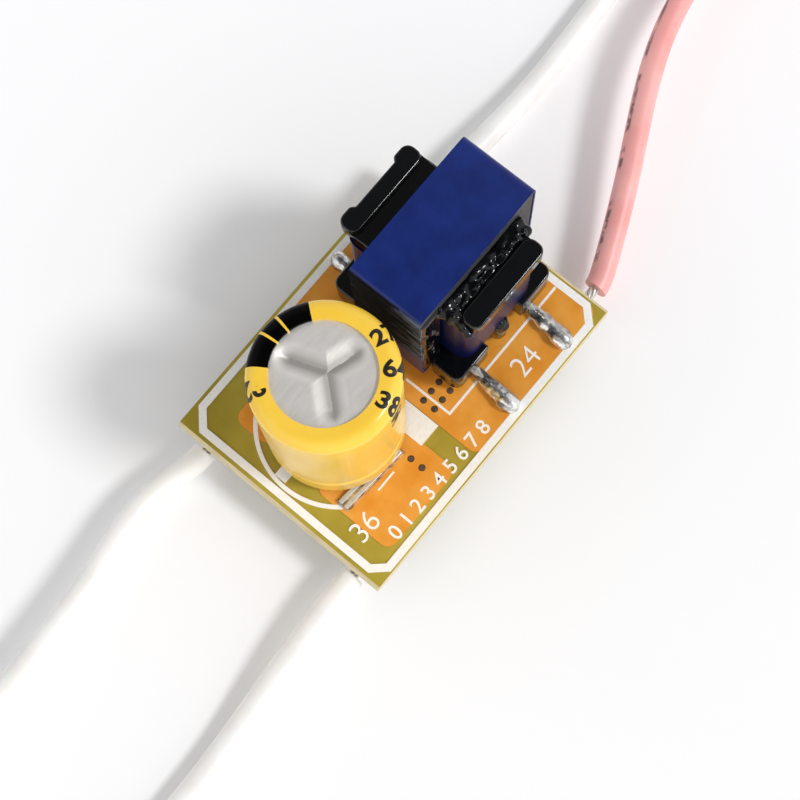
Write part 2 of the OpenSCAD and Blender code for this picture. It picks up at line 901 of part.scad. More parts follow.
// Stripped end of one lead, from its pad out to where the insulation starts
module conductor(exit) {
    out = sign(exit.x);
    inner = half_l - conductor_on_pad;
    translate([out * inner, exit.y, conductor_z])
        rotate([0, out * 90, 0])
            cylinder(d = conductor_d, h = abs(exit.x) - inner);
}

module lead_conductors() {
    color("silver")
        for (r = ROUTES)
            conductor(r[0]);
}

module lead_solder() {
    color("lightgray")
        for (r = ROUTES) {
            out = sign(r[0].x);
            difference() {
                intersection() {
                    translate([out * (half_l - conductor_on_pad), r[0].y, rest_h - lead_solder_r * 0.35])
                        rotate(out > 0 ? 0 : 180)
                            capsule(lead_solder_r, conductor_on_pad - lead_solder_r - 0.4);
                    translate([-half_l, -half_w, rest_h - 3]) cube([board_l, board_w, 3]);
                }
                conductor(r[0]);
            }
        }
}

function unit(v) = v / norm(v);
function heading(route, i) =
    unit(route[min(i + 1, len(route) - 1)] - route[max(i - 1, 0)]);
function ring_point(route, i, side) =
    let (ahead = heading(route, i))
    let (across = unit(cross([0, 0, 1], ahead)))
    let (over = cross(ahead, across))
    let (angle = 360 * (side + 0.5) / LEAD_SIDES)
    route[i] + lead_d / 2 * (cos(angle) * across + sin(angle) * over);

// The insulation of one lead, swept along its route
module lead_tube(route) {
    rings = len(route);
    points = [for (i = [0 : rings - 1], s = [0 : LEAD_SIDES - 1]) ring_point(route, i, s)];
    walls = [
        for (i = [0 : rings - 2], s = [0 : LEAD_SIDES - 1])
            let (a = i * LEAD_SIDES + s, b = i * LEAD_SIDES + (s + 1) % LEAD_SIDES)
                each [[a, a + LEAD_SIDES, b], [b, a + LEAD_SIDES, b + LEAD_SIDES]]
    ];
    first = [for (s = [0 : LEAD_SIDES - 1]) s];
    last = [for (s = [LEAD_SIDES - 1 : -1 : 0]) (rings - 1) * LEAD_SIDES + s];
    polyhedron(points, concat([first, last], walls));
}

module ac_lead_a() { color("white") lead_tube(AC_ROUTE_A); }

module ac_lead_b() { color("white") lead_tube(AC_ROUTE_B); }

module led_lead_positive() { color("red") lead_tube(POSITIVE_ROUTE); }

module led_lead_negative() { color("white") lead_tube(NEGATIVE_ROUTE); }

module lead_tips() {
    color("silver")
        for (r = ROUTES)
            translate(r[len(r) - 1])
                rotate([0, sign(r[0].x) * 90, 0])
                    cylinder(d = conductor_d, h = tip_l);
}

circuit_board();
top_copper();
bottom_copper();
capacitor_can();
capacitor_sleeve();
capacitor_bung();
capacitor_leads();
capacitor_solder();
core_upper();
core_lower();
core_tape();
bobbin();
winding();
winding_tape();
transformer_pins();
pin_solder();
bridge_body();
bridge_leads();
driver_ic_body();
driver_ic_leads();
diode_bodies();
diode_leads();
chip_resistors();
resistor_terminals();
ceramic_capacitors();
ceramic_terminals();
lead_solder();
lead_conductors();
ac_lead_a();
ac_lead_b();
led_lead_positive();
led_lead_negative();
lead_tips();
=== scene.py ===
# LED driver: a bare circuit board with a capacitor and an inductor on top and four leads.
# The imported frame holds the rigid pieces. This script lays their finishes, print, solder and leads over it.
import math
import random

import bmesh
import bpy
from mathutils import Matrix, Vector


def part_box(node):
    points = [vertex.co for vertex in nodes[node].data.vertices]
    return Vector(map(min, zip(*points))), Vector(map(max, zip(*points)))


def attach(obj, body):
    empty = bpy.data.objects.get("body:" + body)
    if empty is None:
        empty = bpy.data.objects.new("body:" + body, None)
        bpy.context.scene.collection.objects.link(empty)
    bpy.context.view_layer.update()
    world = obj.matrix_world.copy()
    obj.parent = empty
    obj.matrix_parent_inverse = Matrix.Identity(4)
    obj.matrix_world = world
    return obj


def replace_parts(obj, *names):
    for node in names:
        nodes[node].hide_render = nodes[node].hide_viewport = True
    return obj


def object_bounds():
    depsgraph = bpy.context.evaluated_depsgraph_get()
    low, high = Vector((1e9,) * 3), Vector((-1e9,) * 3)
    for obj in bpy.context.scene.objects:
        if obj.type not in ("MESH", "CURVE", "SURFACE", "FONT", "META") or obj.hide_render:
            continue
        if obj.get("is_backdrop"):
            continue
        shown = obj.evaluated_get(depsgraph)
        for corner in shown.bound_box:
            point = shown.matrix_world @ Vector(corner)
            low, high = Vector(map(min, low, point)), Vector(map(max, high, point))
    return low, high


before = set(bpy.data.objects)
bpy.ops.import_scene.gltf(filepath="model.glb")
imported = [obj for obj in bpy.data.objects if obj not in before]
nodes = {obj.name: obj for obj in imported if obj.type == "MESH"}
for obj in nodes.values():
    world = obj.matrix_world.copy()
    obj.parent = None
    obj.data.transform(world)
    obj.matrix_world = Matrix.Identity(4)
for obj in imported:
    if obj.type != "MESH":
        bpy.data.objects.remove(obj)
cad_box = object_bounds()
mm = 0.001

# Camera
# It looks steeply down from the front left, so that the board lies across the picture's diagonal.
# Its place and lens were fitted to the board's corners, the can's rim and the core's top.
camera = bpy.data.objects.new("camera", bpy.data.cameras.new("camera"))
camera.data.lens, camera.data.sensor_width, camera.data.clip_start = 66.58, 36, 0.002
picture_right = Vector((0.6379, -0.7694, -0.0332))
picture_up = Vector((0.7565, 0.6181, 0.2135))
camera_back = Vector((-0.1438, -0.1613, 0.9764))
camera.matrix_world = Matrix.Translation((-14.61 * mm, -16.483 * mm, 93.476 * mm)) @ Matrix(
    (picture_right, picture_up, camera_back)
).transposed().to_4x4()
bpy.context.scene.collection.objects.link(camera)
bpy.context.scene.camera = camera
bpy.context.scene.view_settings.view_transform = "Standard"


# Table and light
# A sheet of white card lies under the board, and a broad lamp on the right throws soft shadows to the left.
# The room is pale, more so below the picture, and dark straight overhead: glossy tops look deep and edges shine.
def linear(colour):
    parts = [int(colour[i : i + 2], 16) / 255 for i in (1, 3, 5)]
    return [c / 12.92 if c <= 0.04045 else ((c + 0.055) / 1.055) ** 2.4 for c in parts] + [1]


def add_node(tree, kind, inputs=None, **settings):
    made = tree.nodes.new("ShaderNode" + kind)
    for name, value in settings.items():
        setattr(made, name, value)
    for name, value in (inputs or {}).items():
        if isinstance(value, bpy.types.NodeSocket):
            tree.links.new(value, made.inputs[name])
        else:
            made.inputs[name].default_value = value
    return made


def new_material(name, **sockets):
    material = bpy.data.materials.new(name)
    material.use_nodes = True
    surface = material.node_tree.nodes["Principled BSDF"]
    for socket, value in sockets.items():
        surface.inputs[socket.replace("_", " ")].default_value = value
    return material, material.node_tree, surface


def new_piece(name, bm, material, slot=None, smooth_below=35):
    mesh = bpy.data.meshes.new(name)
    bm.to_mesh(mesh)
    bm.free()
    mesh.shade_smooth()
    mesh.set_sharp_from_angle(angle=math.radians(smooth_below))
    mesh.materials.append(material)
    piece = bpy.data.objects.new(name, mesh)
    bpy.context.scene.collection.objects.link(piece)
    if slot:
        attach(piece, "root")
    return piece


# Matt white card: paper tone with a faint unevenness of a few centimetres
card, tree, surface = new_material("white_card", Roughness=0.9, Specular_IOR_Level=0.1)
place = add_node(tree, "TexCoord")
cloud = add_node(tree, "TexNoise", {"Vector": place.outputs["Object"], "Scale": 1 / (30 * mm), "Detail": 2.0})
tone = add_node(tree, "ValToRGB", {"Fac": cloud.outputs["Fac"]})
tone.color_ramp.elements[0].color, tone.color_ramp.elements[1].color = linear("#fdfdfe"), linear("#ffffff")
tree.links.new(tone.outputs["Color"], surface.inputs["Base Color"])
bm = bmesh.new()
bmesh.ops.create_grid(bm, x_segments=2, y_segments=2, size=3, matrix=Matrix.Translation((0, 0, -0.02 * mm)))
table = new_piece("table_card", bm, card)
table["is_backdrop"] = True

world = bpy.data.worlds.new("room")
bpy.context.scene.world = world
world.use_nodes = True
tree = world.node_tree
heading = add_node(tree, "TexCoord")
height = add_node(tree, "SeparateXYZ", {"Vector": heading.outputs["Generated"]})
room = add_node(tree, "ValToRGB", {"Fac": height.outputs["Z"]})
room.color_ramp.elements[0].color, room.color_ramp.elements[1].color = (1, 1, 1, 1), (0.1, 0.1, 0.105, 1)
for at, level in ((0.72, 0.95), (0.93, 0.12)):
    step = room.color_ramp.elements.new(at)
    step.color = (level, level, level * 1.02, 1)
picture_down = (-0.757, -0.618, 0)
below = add_node(tree, "VectorMath", {0: heading.outputs["Generated"], 1: picture_down}, operation="DOT_PRODUCT")
brighter_below = {"From Min": -1.0, "To Min": 0.62, "To Max": 1.32}
share = add_node(tree, "MapRange", {"Value": below.outputs["Value"], **brighter_below})
tree.links.new(share.outputs[0], tree.nodes["Background"].inputs["Strength"])
tree.links.new(room.outputs["Color"], tree.nodes["Background"].inputs["Color"])

lamp = bpy.data.objects.new("lamp", bpy.data.lights.new("lamp", "SUN"))
lamp.data.energy, lamp.data.angle = 1.42, math.radians(13)
lamp.rotation_euler = Vector((-0.32, 0.6, -0.73)).to_track_quat("-Z", "Y").to_euler()
bpy.context.scene.collection.objects.link(lamp)

# Strands of the leads
# Each lead is seven tinned copper wires, twisted and stiff with solder where they are stripped.
# They show as a short neck under the board's edge and as the free tips.
lead_width = 1.6
routes = {
    "ac_lead_a": [
        (-11.5, 6, 2), (-12.5, 6, 2), (-14.4, 6.7, 2.1), (-16.8, 6.9, 2.3),
        (-19.8, 6.45, 2.4), (-23.4, 5.92, 2.5), (-27.6, 5.75, 2.5), (-32, 5.6, 2.4),
        (-35.5, 5.5, 2.1), (-39, 5.35, 1.6), (-42.5, 5.15, 1.2), (-46, 4.9, 0.9),
        (-49.5, 4.7, 0.8), (-53, 4.5, 0.8), (-57, 4.4, 0.8), (-62, 4.4, 0.8),
    ],
    "ac_lead_b": [
        (-11.5, -6.2, 2), (-13.3, -6.2, 2), (-16, -6.3, 1.8), (-19, -6.4, 1.4),
        (-22, -6.6, 1), (-25, -6.8, 0.8), (-28.5, -6.9, 0.8), (-32, -6.9, 0.8),
        (-35.5, -6.7, 0.8), (-39, -6.3, 0.8), (-42.5, -5.8, 0.8), (-46, -5.3, 0.8),
        (-49.5, -4.9, 0.8), (-53, -4.6, 0.8), (-57, -4.5, 0.8), (-62, -4.5, 0.8),
    ],
    "led_lead_positive": [
        (12.4, -6.4, 2), (12.9, -6.4, 2), (14.2, -5.85, 2.15), (16.6, -4.8, 2.4),
        (19.2, -3.6, 2.7), (22.2, -2.05, 2.9), (25.3, -0.5, 3), (28.4, 0.75, 3),
        (32, 1.6, 2.9), (36, 2, 2.4), (40, 2, 1.8), (43.6, 1.7, 1.3),
        (47.2, 1.1, 0.95), (51, 0.5, 0.8), (55.5, 0, 0.8), (60.5, 0, 0.8),
    ],
    "led_lead_negative": [
        (11.9, 5.65, 2), (13.5, 5.65, 2), (16, 5.6, 1.8), (19, 5.5, 1.4),
        (22, 5.55, 1), (25, 5.7, 0.8), (28.5, 5.95, 0.8), (32, 6.1, 0.8),
        (35.5, 6, 0.8), (39, 5.75, 0.8), (42.5, 5.45, 0.8), (46, 5.1, 0.8),
        (49.5, 4.8, 0.8), (53, 4.6, 0.8), (57, 4.5, 0.8), (62, 4.5, 0.8),
    ],
}

# Tinned copper: bright grey and softly shiny, with dull spots of about 0.4 mm
tinned, tree, surface = new_material("tinned_copper", Metallic=0.5)
place = add_node(tree, "TexCoord")
dull = add_node(tree, "TexNoise", {"Vector": place.outputs["Object"], "Scale": 1 / (0.4 * mm), "Detail": 4.0})
tone = add_node(tree, "ValToRGB", {"Fac": dull.outputs["Fac"]})
tone.color_ramp.elements[0].color, tone.color_ramp.elements[1].color = linear("#c4c1ba"), linear("#f8f7f4")
rough = add_node(tree, "MapRange", {"Value": dull.outputs["Fac"], "To Min": 0.42, "To Max": 0.2})
dent = add_node(tree, "Bump", {"Height": dull.outputs["Fac"], "Strength": 0.2, "Distance": 0.03 * mm})
tree.links.new(tone.outputs["Color"], surface.inputs["Base Color"])
tree.links.new(rough.outputs[0], surface.inputs["Roughness"])
tree.links.new(dent.outputs["Normal"], surface.inputs["Normal"])


def twisted_strands(name, start, length, node):
    """Six strands of 0.23 mm wound once in 4 mm round a middle one, from start along X."""
    strand_r, turn_length, step = 0.116 * mm, 4 * mm, 0.2 * mm
    steps = round(abs(length) / step)
    bm = bmesh.new()
    for i in range(7):
        ring = bmesh.ops.create_circle(bm, cap_ends=True, segments=10, radius=strand_r)["verts"]
        out = 0 if i == 6 else 2 * strand_r
        spot = Matrix.Rotation(i * math.pi / 3, 4, "X") @ Matrix.Translation((0, 0, out))
        stand = Matrix.Translation(start) @ spot @ Matrix.Rotation(math.pi / 2, 4, "Y")
        bmesh.ops.transform(bm, matrix=stand, verts=ring)
        face = ring[0].link_faces[0]
        bmesh.ops.spin(
            bm, geom=[face, *face.edges, *ring], cent=start, axis=(1, 0, 0),
            dvec=(length / steps, 0, 0), angle=math.tau * abs(length) / turn_length, steps=steps,
        )
    bmesh.ops.recalc_face_normals(bm, faces=bm.faces)
    piece = new_piece(name, bm, tinned, "tinned", 60)
    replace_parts(piece, node)
    return piece


joint_x, tip_length = 9.2 * mm, 5 * mm
for name, points in routes.items():
    inner, outer, side = Vector(points[0]) * mm, Vector(points[-1]) * mm, math.copysign(1, points[0][0])
    twisted_strands(name + "_neck", inner, side * joint_x - inner.x, "lead_conductors")
    twisted_strands(name + "_tip", outer, side * tip_length, "lead_tips")


# Leads
# Tinned copper strands in an extruded PVC sleeve, three white and one red, soldered under the board's ends.
# They leave it level. Two are stiff enough to rise a little before they sink to the table, and all lie nearly straight.
# Extruded PVC: satin, a little see-through, with smudges some 3 mm long and a fine drawn grain
pvc = {}
for colour, pale, dark in (("white", "#faf9f6", "#efede8"), ("red", "#f6b2ad", "#ee9c98")):
    pvc[colour], tree, surface = new_material(
        colour + "_pvc", Roughness=0.4, IOR=1.53, Subsurface_Weight=0.12, Subsurface_Scale=0.3 * mm
    )
    place = add_node(tree, "TexCoord")
    smudge = add_node(tree, "TexNoise", {"Vector": place.outputs["Object"], "Scale": 1 / (3 * mm), "Detail": 4.0})
    tone = add_node(tree, "ValToRGB", {"Fac": smudge.outputs["Fac"]})
    tone.color_ramp.elements[0].color, tone.color_ramp.elements[1].color = linear(dark), linear(pale)
    tone.color_ramp.elements[0].position, tone.color_ramp.elements[1].position = 0.3, 0.6
    shade = tone.outputs["Color"]
    if colour == "red":
        # Dashes of worn ink run along one side, about 0.4 mm high, in groups of some 4 mm
        around = add_node(tree, "SeparateXYZ", {"Vector": place.outputs["UV"]})
        ink_side, soft_edge = 0.045, {"From Min": 0.02, "From Max": 0.045, "To Min": 0.8, "To Max": 0.0}
        line = add_node(tree, "Math", {0: around.outputs["Y"], 1: ink_side}, operation="SUBTRACT")
        line = add_node(tree, "Math", {0: line.outputs[0]}, operation="ABSOLUTE")
        line = add_node(tree, "MapRange", {"Value": line.outputs[0], **soft_edge})
        ink = line.outputs[0]
        # Groups and single dashes: size in millimetres on a map of 50 by 6.3 mm, and where the ink thins out
        for size, low, high in ((4.5, 0.45, 0.5), (0.67, 0.36, 0.52)):
            repeats = (50 / size, 6.3 / size, 1)
            marks = add_node(tree, "Mapping", {"Vector": place.outputs["UV"], "Scale": repeats})
            worn = add_node(tree, "TexNoise", {"Vector": marks.outputs["Vector"], "Scale": 1.0, "Detail": 2.0})
            worn = add_node(tree, "MapRange", {"Value": worn.outputs["Fac"], "From Min": low, "From Max": high})
            ink = add_node(tree, "Math", {0: worn.outputs[0], 1: ink}, operation="MULTIPLY").outputs[0]
        inked = add_node(tree, "Mix", {0: ink, 6: shade, 7: linear("#3a2427")}, data_type="RGBA")
        shade = inked.outputs[2]
    tree.links.new(shade, surface.inputs["Base Color"])
    grain = add_node(tree, "TexNoise", {"Vector": place.outputs["Object"], "Scale": 1 / (0.25 * mm)})
    dent = add_node(tree, "Bump", {"Height": grain.outputs["Fac"], "Strength": 0.12, "Distance": 0.02 * mm})
    tree.links.new(dent.outputs["Normal"], surface.inputs["Normal"])

for name, points in routes.items():
    curve = bpy.data.curves.new(name + "_route", "CURVE")
    curve.dimensions, curve.resolution_u = "3D", 10
    spline = curve.splines.new("NURBS")
    spline.points.add(len(points) - 1)
    spline.order_u, spline.use_endpoint_u = 4, True
    for point, at in zip(spline.points, points):
        point.co = (*(c * mm for c in at), 1)
    holder = bpy.data.objects.new(name + "_route", curve)
    path = [v.co.copy() for v in bpy.data.meshes.new_from_object(holder).vertices]
    curve.bevel_depth, curve.bevel_resolution, curve.use_fill_caps = lead_width / 2 * mm, 7, True
    bm = bmesh.new()
    bm.from_mesh(bpy.data.meshes.new_from_object(holder))
    bpy.data.objects.remove(holder)
    colour = "red" if name == "led_lead_positive" else "white"
    lead = new_piece(name + "_sleeve", bm, pvc[colour], "lead_" + colour)
    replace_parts(lead, name)


# Circuit board
# Glass-filled epoxy laminate under a thin olive-yellow mask, broken off its panel along two scored grooves.
# The mask covers both faces. The sawn and broken edges are bare, beige and fibrous.
board_low, board_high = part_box("circuit_board")
copper_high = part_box("top_copper")[1]
top_z = board_high.z
# Mask: glossy lacquer, cloudy over some 5 mm, with a hint of the glass weave of 0.4 mm underneath
laminate, tree, surface = new_material("masked_laminate", Roughness=0.3, IOR=1.5)
place = add_node(tree, "TexCoord")
cloud = add_node(tree, "TexNoise", {"Vector": place.outputs["Object"], "Scale": 1 / (5 * mm), "Detail": 5.0})
tone = add_node(tree, "ValToRGB", {"Fac": cloud.outputs["Fac"]})
tone.color_ramp.elements[0].color, tone.color_ramp.elements[1].color = linear("#a3912e"), linear("#c0ab44")
tone.color_ramp.elements[0].position, tone.color_ramp.elements[1].position = 0.35, 0.65
# Bare edge: cut glass fibres, 1.1 mm long and 0.11 mm thick
fibres = (1 / (1.1 * mm), 1 / (1.1 * mm), 1 / (0.11 * mm))
streaks = add_node(tree, "Mapping", {"Vector": place.outputs["Object"], "Scale": fibres})
fibre = add_node(tree, "TexNoise", {"Vector": streaks.outputs["Vector"], "Scale": 1.0, "Detail": 6.0})
bare = add_node(tree, "ValToRGB", {"Fac": fibre.outputs["Fac"]})
bare.color_ramp.elements[0].color, bare.color_ramp.elements[1].color = linear("#b9a26a"), linear("#efe4c4")
level = add_node(tree, "SeparateXYZ", {"Vector": place.outputs["Object"]})
mid_z, mask_from = (board_low.z + board_high.z) / 2, (board_high.z - board_low.z) / 2 - 0.02 * mm
off = add_node(tree, "Math", {0: level.outputs["Z"], 1: mid_z}, operation="SUBTRACT")
off = add_node(tree, "Math", {0: off.outputs[0]}, operation="ABSOLUTE")
off = add_node(tree, "Math", {0: off.outputs[0], 1: mask_from}, operation="GREATER_THAN")
face = add_node(tree, "Mix", {0: off.outputs[0], 6: bare.outputs["Color"], 7: tone.outputs["Color"]}, data_type="RGBA")
gloss = add_node(tree, "MapRange", {"Value": off.outputs[0], "To Min": 0.8, "To Max": 0.3})
weave = add_node(tree, "TexNoise", {"Vector": place.outputs["Object"], "Scale": 1 / (0.4 * mm), "Detail": 2.0})
dent = add_node(tree, "Bump", {"Height": weave.outputs["Fac"], "Strength": 0.1, "Distance": 0.03 * mm})
tree.links.new(face.outputs[2], surface.inputs["Base Color"])
tree.links.new(gloss.outputs[0], surface.inputs["Roughness"])
tree.links.new(dent.outputs["Normal"], surface.inputs["Normal"])


def dress(material, *names):
    for name in names:
        nodes[name].data.materials.clear()
        nodes[name].data.materials.append(material)


dress(laminate, "circuit_board")

# Copper areas
# Etched copper foil under the same mask, which looks orange over the metal.
# Copper under lacquer: warm and glossy, mottled over some 2 mm, with the foil's brushed grain of 1.4 by 0.11 mm along X
copper, tree, surface = new_material("masked_copper", Roughness=0.3, IOR=1.5)
place = add_node(tree, "TexCoord")
cloud = add_node(tree, "TexNoise", {"Vector": place.outputs["Object"], "Scale": 1 / (2 * mm), "Detail": 5.0})
tone = add_node(tree, "ValToRGB", {"Fac": cloud.outputs["Fac"]})
tone.color_ramp.elements[0].color, tone.color_ramp.elements[1].color = linear("#e6942d"), linear("#f3a947")
tone.color_ramp.elements[0].position, tone.color_ramp.elements[1].position = 0.35, 0.65
brushed = (1 / (1.4 * mm), 1 / (0.11 * mm), 1 / (0.11 * mm))
drawn = add_node(tree, "Mapping", {"Vector": place.outputs["Object"], "Scale": brushed})
grain = add_node(tree, "TexNoise", {"Vector": drawn.outputs["Vector"], "Scale": 1.0, "Detail": 3.0})
dent = add_node(tree, "Bump", {"Height": grain.outputs["Fac"], "Strength": 0.12, "Distance": 0.02 * mm})
tree.links.new(tone.outputs["Color"], surface.inputs["Base Color"])
tree.links.new(dent.outputs["Normal"], surface.inputs["Normal"])
dress(copper, "top_copper")

# Through holes
# Plated holes that carry heat and current to the other side, plugged with resin when the mask was laid.
# Plugging resin: dark brown and slightly glossy, in grains of 0.25 mm, sunk a little below the copper
resin, tree, surface = new_material("plugging_resin", Roughness=0.35)
place = add_node(tree, "TexCoord")
cloud = add_node(tree, "TexNoise", {"Vector": place.outputs["Object"], "Scale": 1 / (0.25 * mm), "Detail": 3.0})
tone = add_node(tree, "ValToRGB", {"Fac": cloud.outputs["Fac"]})
tone.color_ramp.elements[0].color, tone.color_ramp.elements[1].color = linear("#352a25"), linear("#6b5a4e")
tree.links.new(tone.outputs["Color"], surface.inputs["Base Color"])
holes = [(0.66 + 0.76 * i, -3.24 + 0.88 * j) for i in (-1.5, -0.5, 0.5, 1.5) for j in (-0.5, 0.5)]
holes += [(-3.82, -4.54), (-3.82, -5.42)]
plug_r, plug_depth, plug_sunk = 0.22 * mm, 0.9 * mm, 0.03 * mm
bm = bmesh.new()
for x, y in holes:
    middle = Vector((x * mm, y * mm, copper_high.z - plug_sunk - plug_depth / 2))
    plug = bmesh.ops.create_cone(
        bm, cap_ends=True, segments=20, radius1=plug_r, radius2=plug_r, depth=plug_depth,
        matrix=Matrix.Translation(middle),
    )["verts"]
    upper = [v for v in plug if v.co.z > middle.z]
    rim = [e for e in bm.edges if e.verts[0] in upper and e.calc_face_angle(0) > 1]
    bmesh.ops.bevel(bm, geom=rim, offset=0.06 * mm, affect="EDGES", segments=2, profile=0.5, material=-1)
new_piece("via_plugs", bm, resin, "board")

# Print
# White epoxy ink, screen printed on the mask: a border with cut corners, outlines for the two large parts,
# a filled mark, and plain numbers beside the parts.
# Epoxy ink: matt white, a little thin in specks of 0.2 mm
white_ink, tree, surface = new_material("white_ink", Roughness=0.6)
place = add_node(tree, "TexCoord")
speck = add_node(tree, "TexNoise", {"Vector": place.outputs["Object"], "Scale": 1 / (0.2 * mm), "Detail": 3.0})
tone = add_node(tree, "ValToRGB", {"Fac": speck.outputs["Fac"]})
tone.color_ramp.elements[0].color, tone.color_ramp.elements[1].color = linear("#f6f3ea"), linear("#fdfcf8")
tone.color_ramp.elements[0].position, tone.color_ramp.elements[1].position = 0.3, 0.5
tree.links.new(tone.outputs["Color"], surface.inputs["Base Color"])

border_w, ink_t = 0.5 * mm, 0.012 * mm
bm = bmesh.new()
# Border: an eight-sided face, inset by the line's width
edge = [
    (-9.61, 7.86), (-10.87, 6.7), (-10.87, -7.0), (-9.95, -8.0),
    (9.9, -8.0), (10.95, -6.95), (10.95, 6.75), (9.85, 7.86),
]
outline = bm.faces.new([bm.verts.new((x * mm, y * mm, top_z)) for x, y in edge])
outline.normal_update()
bmesh.ops.inset_individual(bm, faces=[outline], thickness=border_w, use_even_offset=True)
bmesh.ops.delete(bm, geom=[outline], context="FACES_ONLY")
# Arc beside the capacitor, spun from a short line across its width
start, arc_middle = Matrix.Rotation(math.radians(95), 3, "Z"), Vector((-4.9 * mm, 0.3 * mm, top_z))
across = [bm.verts.new(start @ Vector((r * mm, 0, 0)) + arc_middle) for r in (5.1, 5.38)]
bmesh.ops.spin(
    bm, geom=[*across, bm.edges.new(across)], cent=arc_middle, axis=(0, 0, 1), angle=math.radians(131), steps=60,
)
# Bars: centre, length along X, length along Y
for x, y, along, across in (
    (-1.97, -3.2, 1.65, 2.65), (-9.55, 0.9, 0.7, 0.85), (-5.86, -4.25, 1.5, 0.12),
    (5.1, -4.6, 10.6, 0.16), (-0.12, -2.81, 0.16, 3.42),
):
    spot = Matrix.LocRotScale(Vector((x * mm, y * mm, top_z)), None, Vector((along * mm, across * mm, 1)))
    bmesh.ops.create_grid(bm, x_segments=1, y_segments=1, size=0.5, matrix=spot)
# Numbers: words, place of their middle, height of the figures
for words, x, y, tall in (
    ("24", 5.45, -6.2, 1.35), ("36", -8.85, -5.1, 1.35), ("0 1 2 3 4 5 6 7 8", -3.7, -6.75, 0.95),
):
    text = bpy.data.curves.new("number", "FONT")
    text.body, text.size, text.align_x, text.align_y = words, tall / 0.7 * mm, "CENTER", "CENTER"
    text.offset = 0.012 * mm if tall < 1 else -0.015 * mm
    holder = bpy.data.objects.new("number", text)
    figures = bpy.data.meshes.new_from_object(holder)
    figures.transform(Matrix.Translation((x * mm, y * mm, top_z)))
    bm.from_mesh(figures)
    bpy.data.objects.remove(holder)
bmesh.ops.recalc_face_normals(bm, faces=bm.faces)
raised = bmesh.ops.extrude_face_region(bm, geom=bm.faces[:])["geom"]
lift = (0, 0, copper_high.z - top_z + ink_t)
bmesh.ops.translate(bm, verts=[g for g in raised if isinstance(g, bmesh.types.BMVert)], vec=lift)
bmesh.ops.recalc_face_normals(bm, faces=bm.faces)
new_piece("board_print", bm, white_ink, "lead_white")

# Capacitor can
# A drawn aluminium can, closed by a rubber seal that a rolled groove holds. Three creased valleys stamped in its top
# form the vent. It was soldered with a slight lean towards the inductor.
cap_axis = Matrix.Translation((-5 * mm, 0.5 * mm, 4.219 * mm)) @ Matrix.Rotation(math.radians(1.7), 4, "Y")
cap_inverse = cap_axis.inverted()
# Drawn aluminium: pale and dull, cloudy over 1.4 mm, with fine scratches about 1.1 mm long and 0.05 mm wide, which
# are drawn three times as wide here so that they show
aluminium, tree, surface = new_material("drawn_aluminium", Metallic=0.65)
place = add_node(tree, "TexCoord")
scratched = {"Rotation": (0, 0, 0.9), "Scale": (1 / (1.1 * mm), 1 / (0.15 * mm), 1 / (0.5 * mm))}
turned = add_node(tree, "Mapping", {"Vector": place.outputs["Object"], **scratched})
ragged = {"Scale": 1.0, "Detail": 5.0, "Roughness": 0.7}
scratch = add_node(tree, "TexNoise", {"Vector": turned.outputs["Vector"], **ragged})
cloud = add_node(tree, "TexNoise", {"Vector": place.outputs["Object"], "Scale": 1 / (1.4 * mm), "Detail": 3.0})
tone = add_node(tree, "ValToRGB", {"Fac": cloud.outputs["Fac"]})
tone.color_ramp.elements[0].color, tone.color_ramp.elements[1].color = linear("#dfdcd6"), linear("#f1eeea")
rough = add_node(tree, "MapRange", {"Value": scratch.outputs["Fac"], "To Min": 0.34, "To Max": 0.6})
dent = add_node(tree, "Bump", {"Height": scratch.outputs["Fac"], "Strength": 0.4, "Distance": 0.03 * mm})
# Painted shade: the stamped valleys are coloured darker than the flat between them, darkest at their bottom
can_top = 11.43
upright = {"Location": cap_inverse.translation, "Rotation": cap_inverse.to_euler()}
centred = add_node(tree, "Mapping", {"Vector": place.outputs["Object"], **upright})
axes = add_node(tree, "SeparateXYZ", {"Vector": centred.outputs["Vector"]})
valley_shade_depths = {"From Min": (can_top - 0.28) * mm, "From Max": (can_top - 0.04) * mm}
flat = add_node(tree, "MapRange", {"Value": axes.outputs["Z"], **valley_shade_depths})
painted_valley_shade = add_node(tree, "Mix", {0: flat.outputs[0], 6: linear("#aeaba6"), 7: tone.outputs["Color"]}, data_type="RGBA")
tree.links.new(painted_valley_shade.outputs[2], surface.inputs["Base Color"])
tree.links.new(rough.outputs[0], surface.inputs["Roughness"])
tree.links.new(dent.outputs["Normal"], surface.inputs["Normal"])
# Half section in radius and height, spun round the axis
can_r, bore_r, edge_r, can_foot, seal_top = 4.1, 2.95, 0.55, 0.22, 1.32
section = [(0, seal_top), (bore_r, seal_top), (bore_r, can_foot), (can_r, can_foot), (can_r, can_top - edge_r)]
for bend in (math.pi / 12 * i for i in range(5, -1, -1)):
    section.append((can_r - edge_r + edge_r * math.sin(bend), can_top - edge_r + edge_r * math.cos(bend)))
section += [(r * 0.1, can_top) for r in range(34, -1, -1)]
bm = bmesh.new()
dots = [bm.verts.new((r * mm, 0, z * mm)) for r, z in section]
lines = [bm.edges.new(pair) for pair in zip(dots, dots[1:])]
bmesh.ops.spin(bm, geom=dots + lines, cent=(0, 0, 0), axis=(0, 0, 1), angle=math.tau, steps=120, use_merge=True)
bmesh.ops.remove_doubles(bm, verts=bm.verts, dist=0.002 * mm)
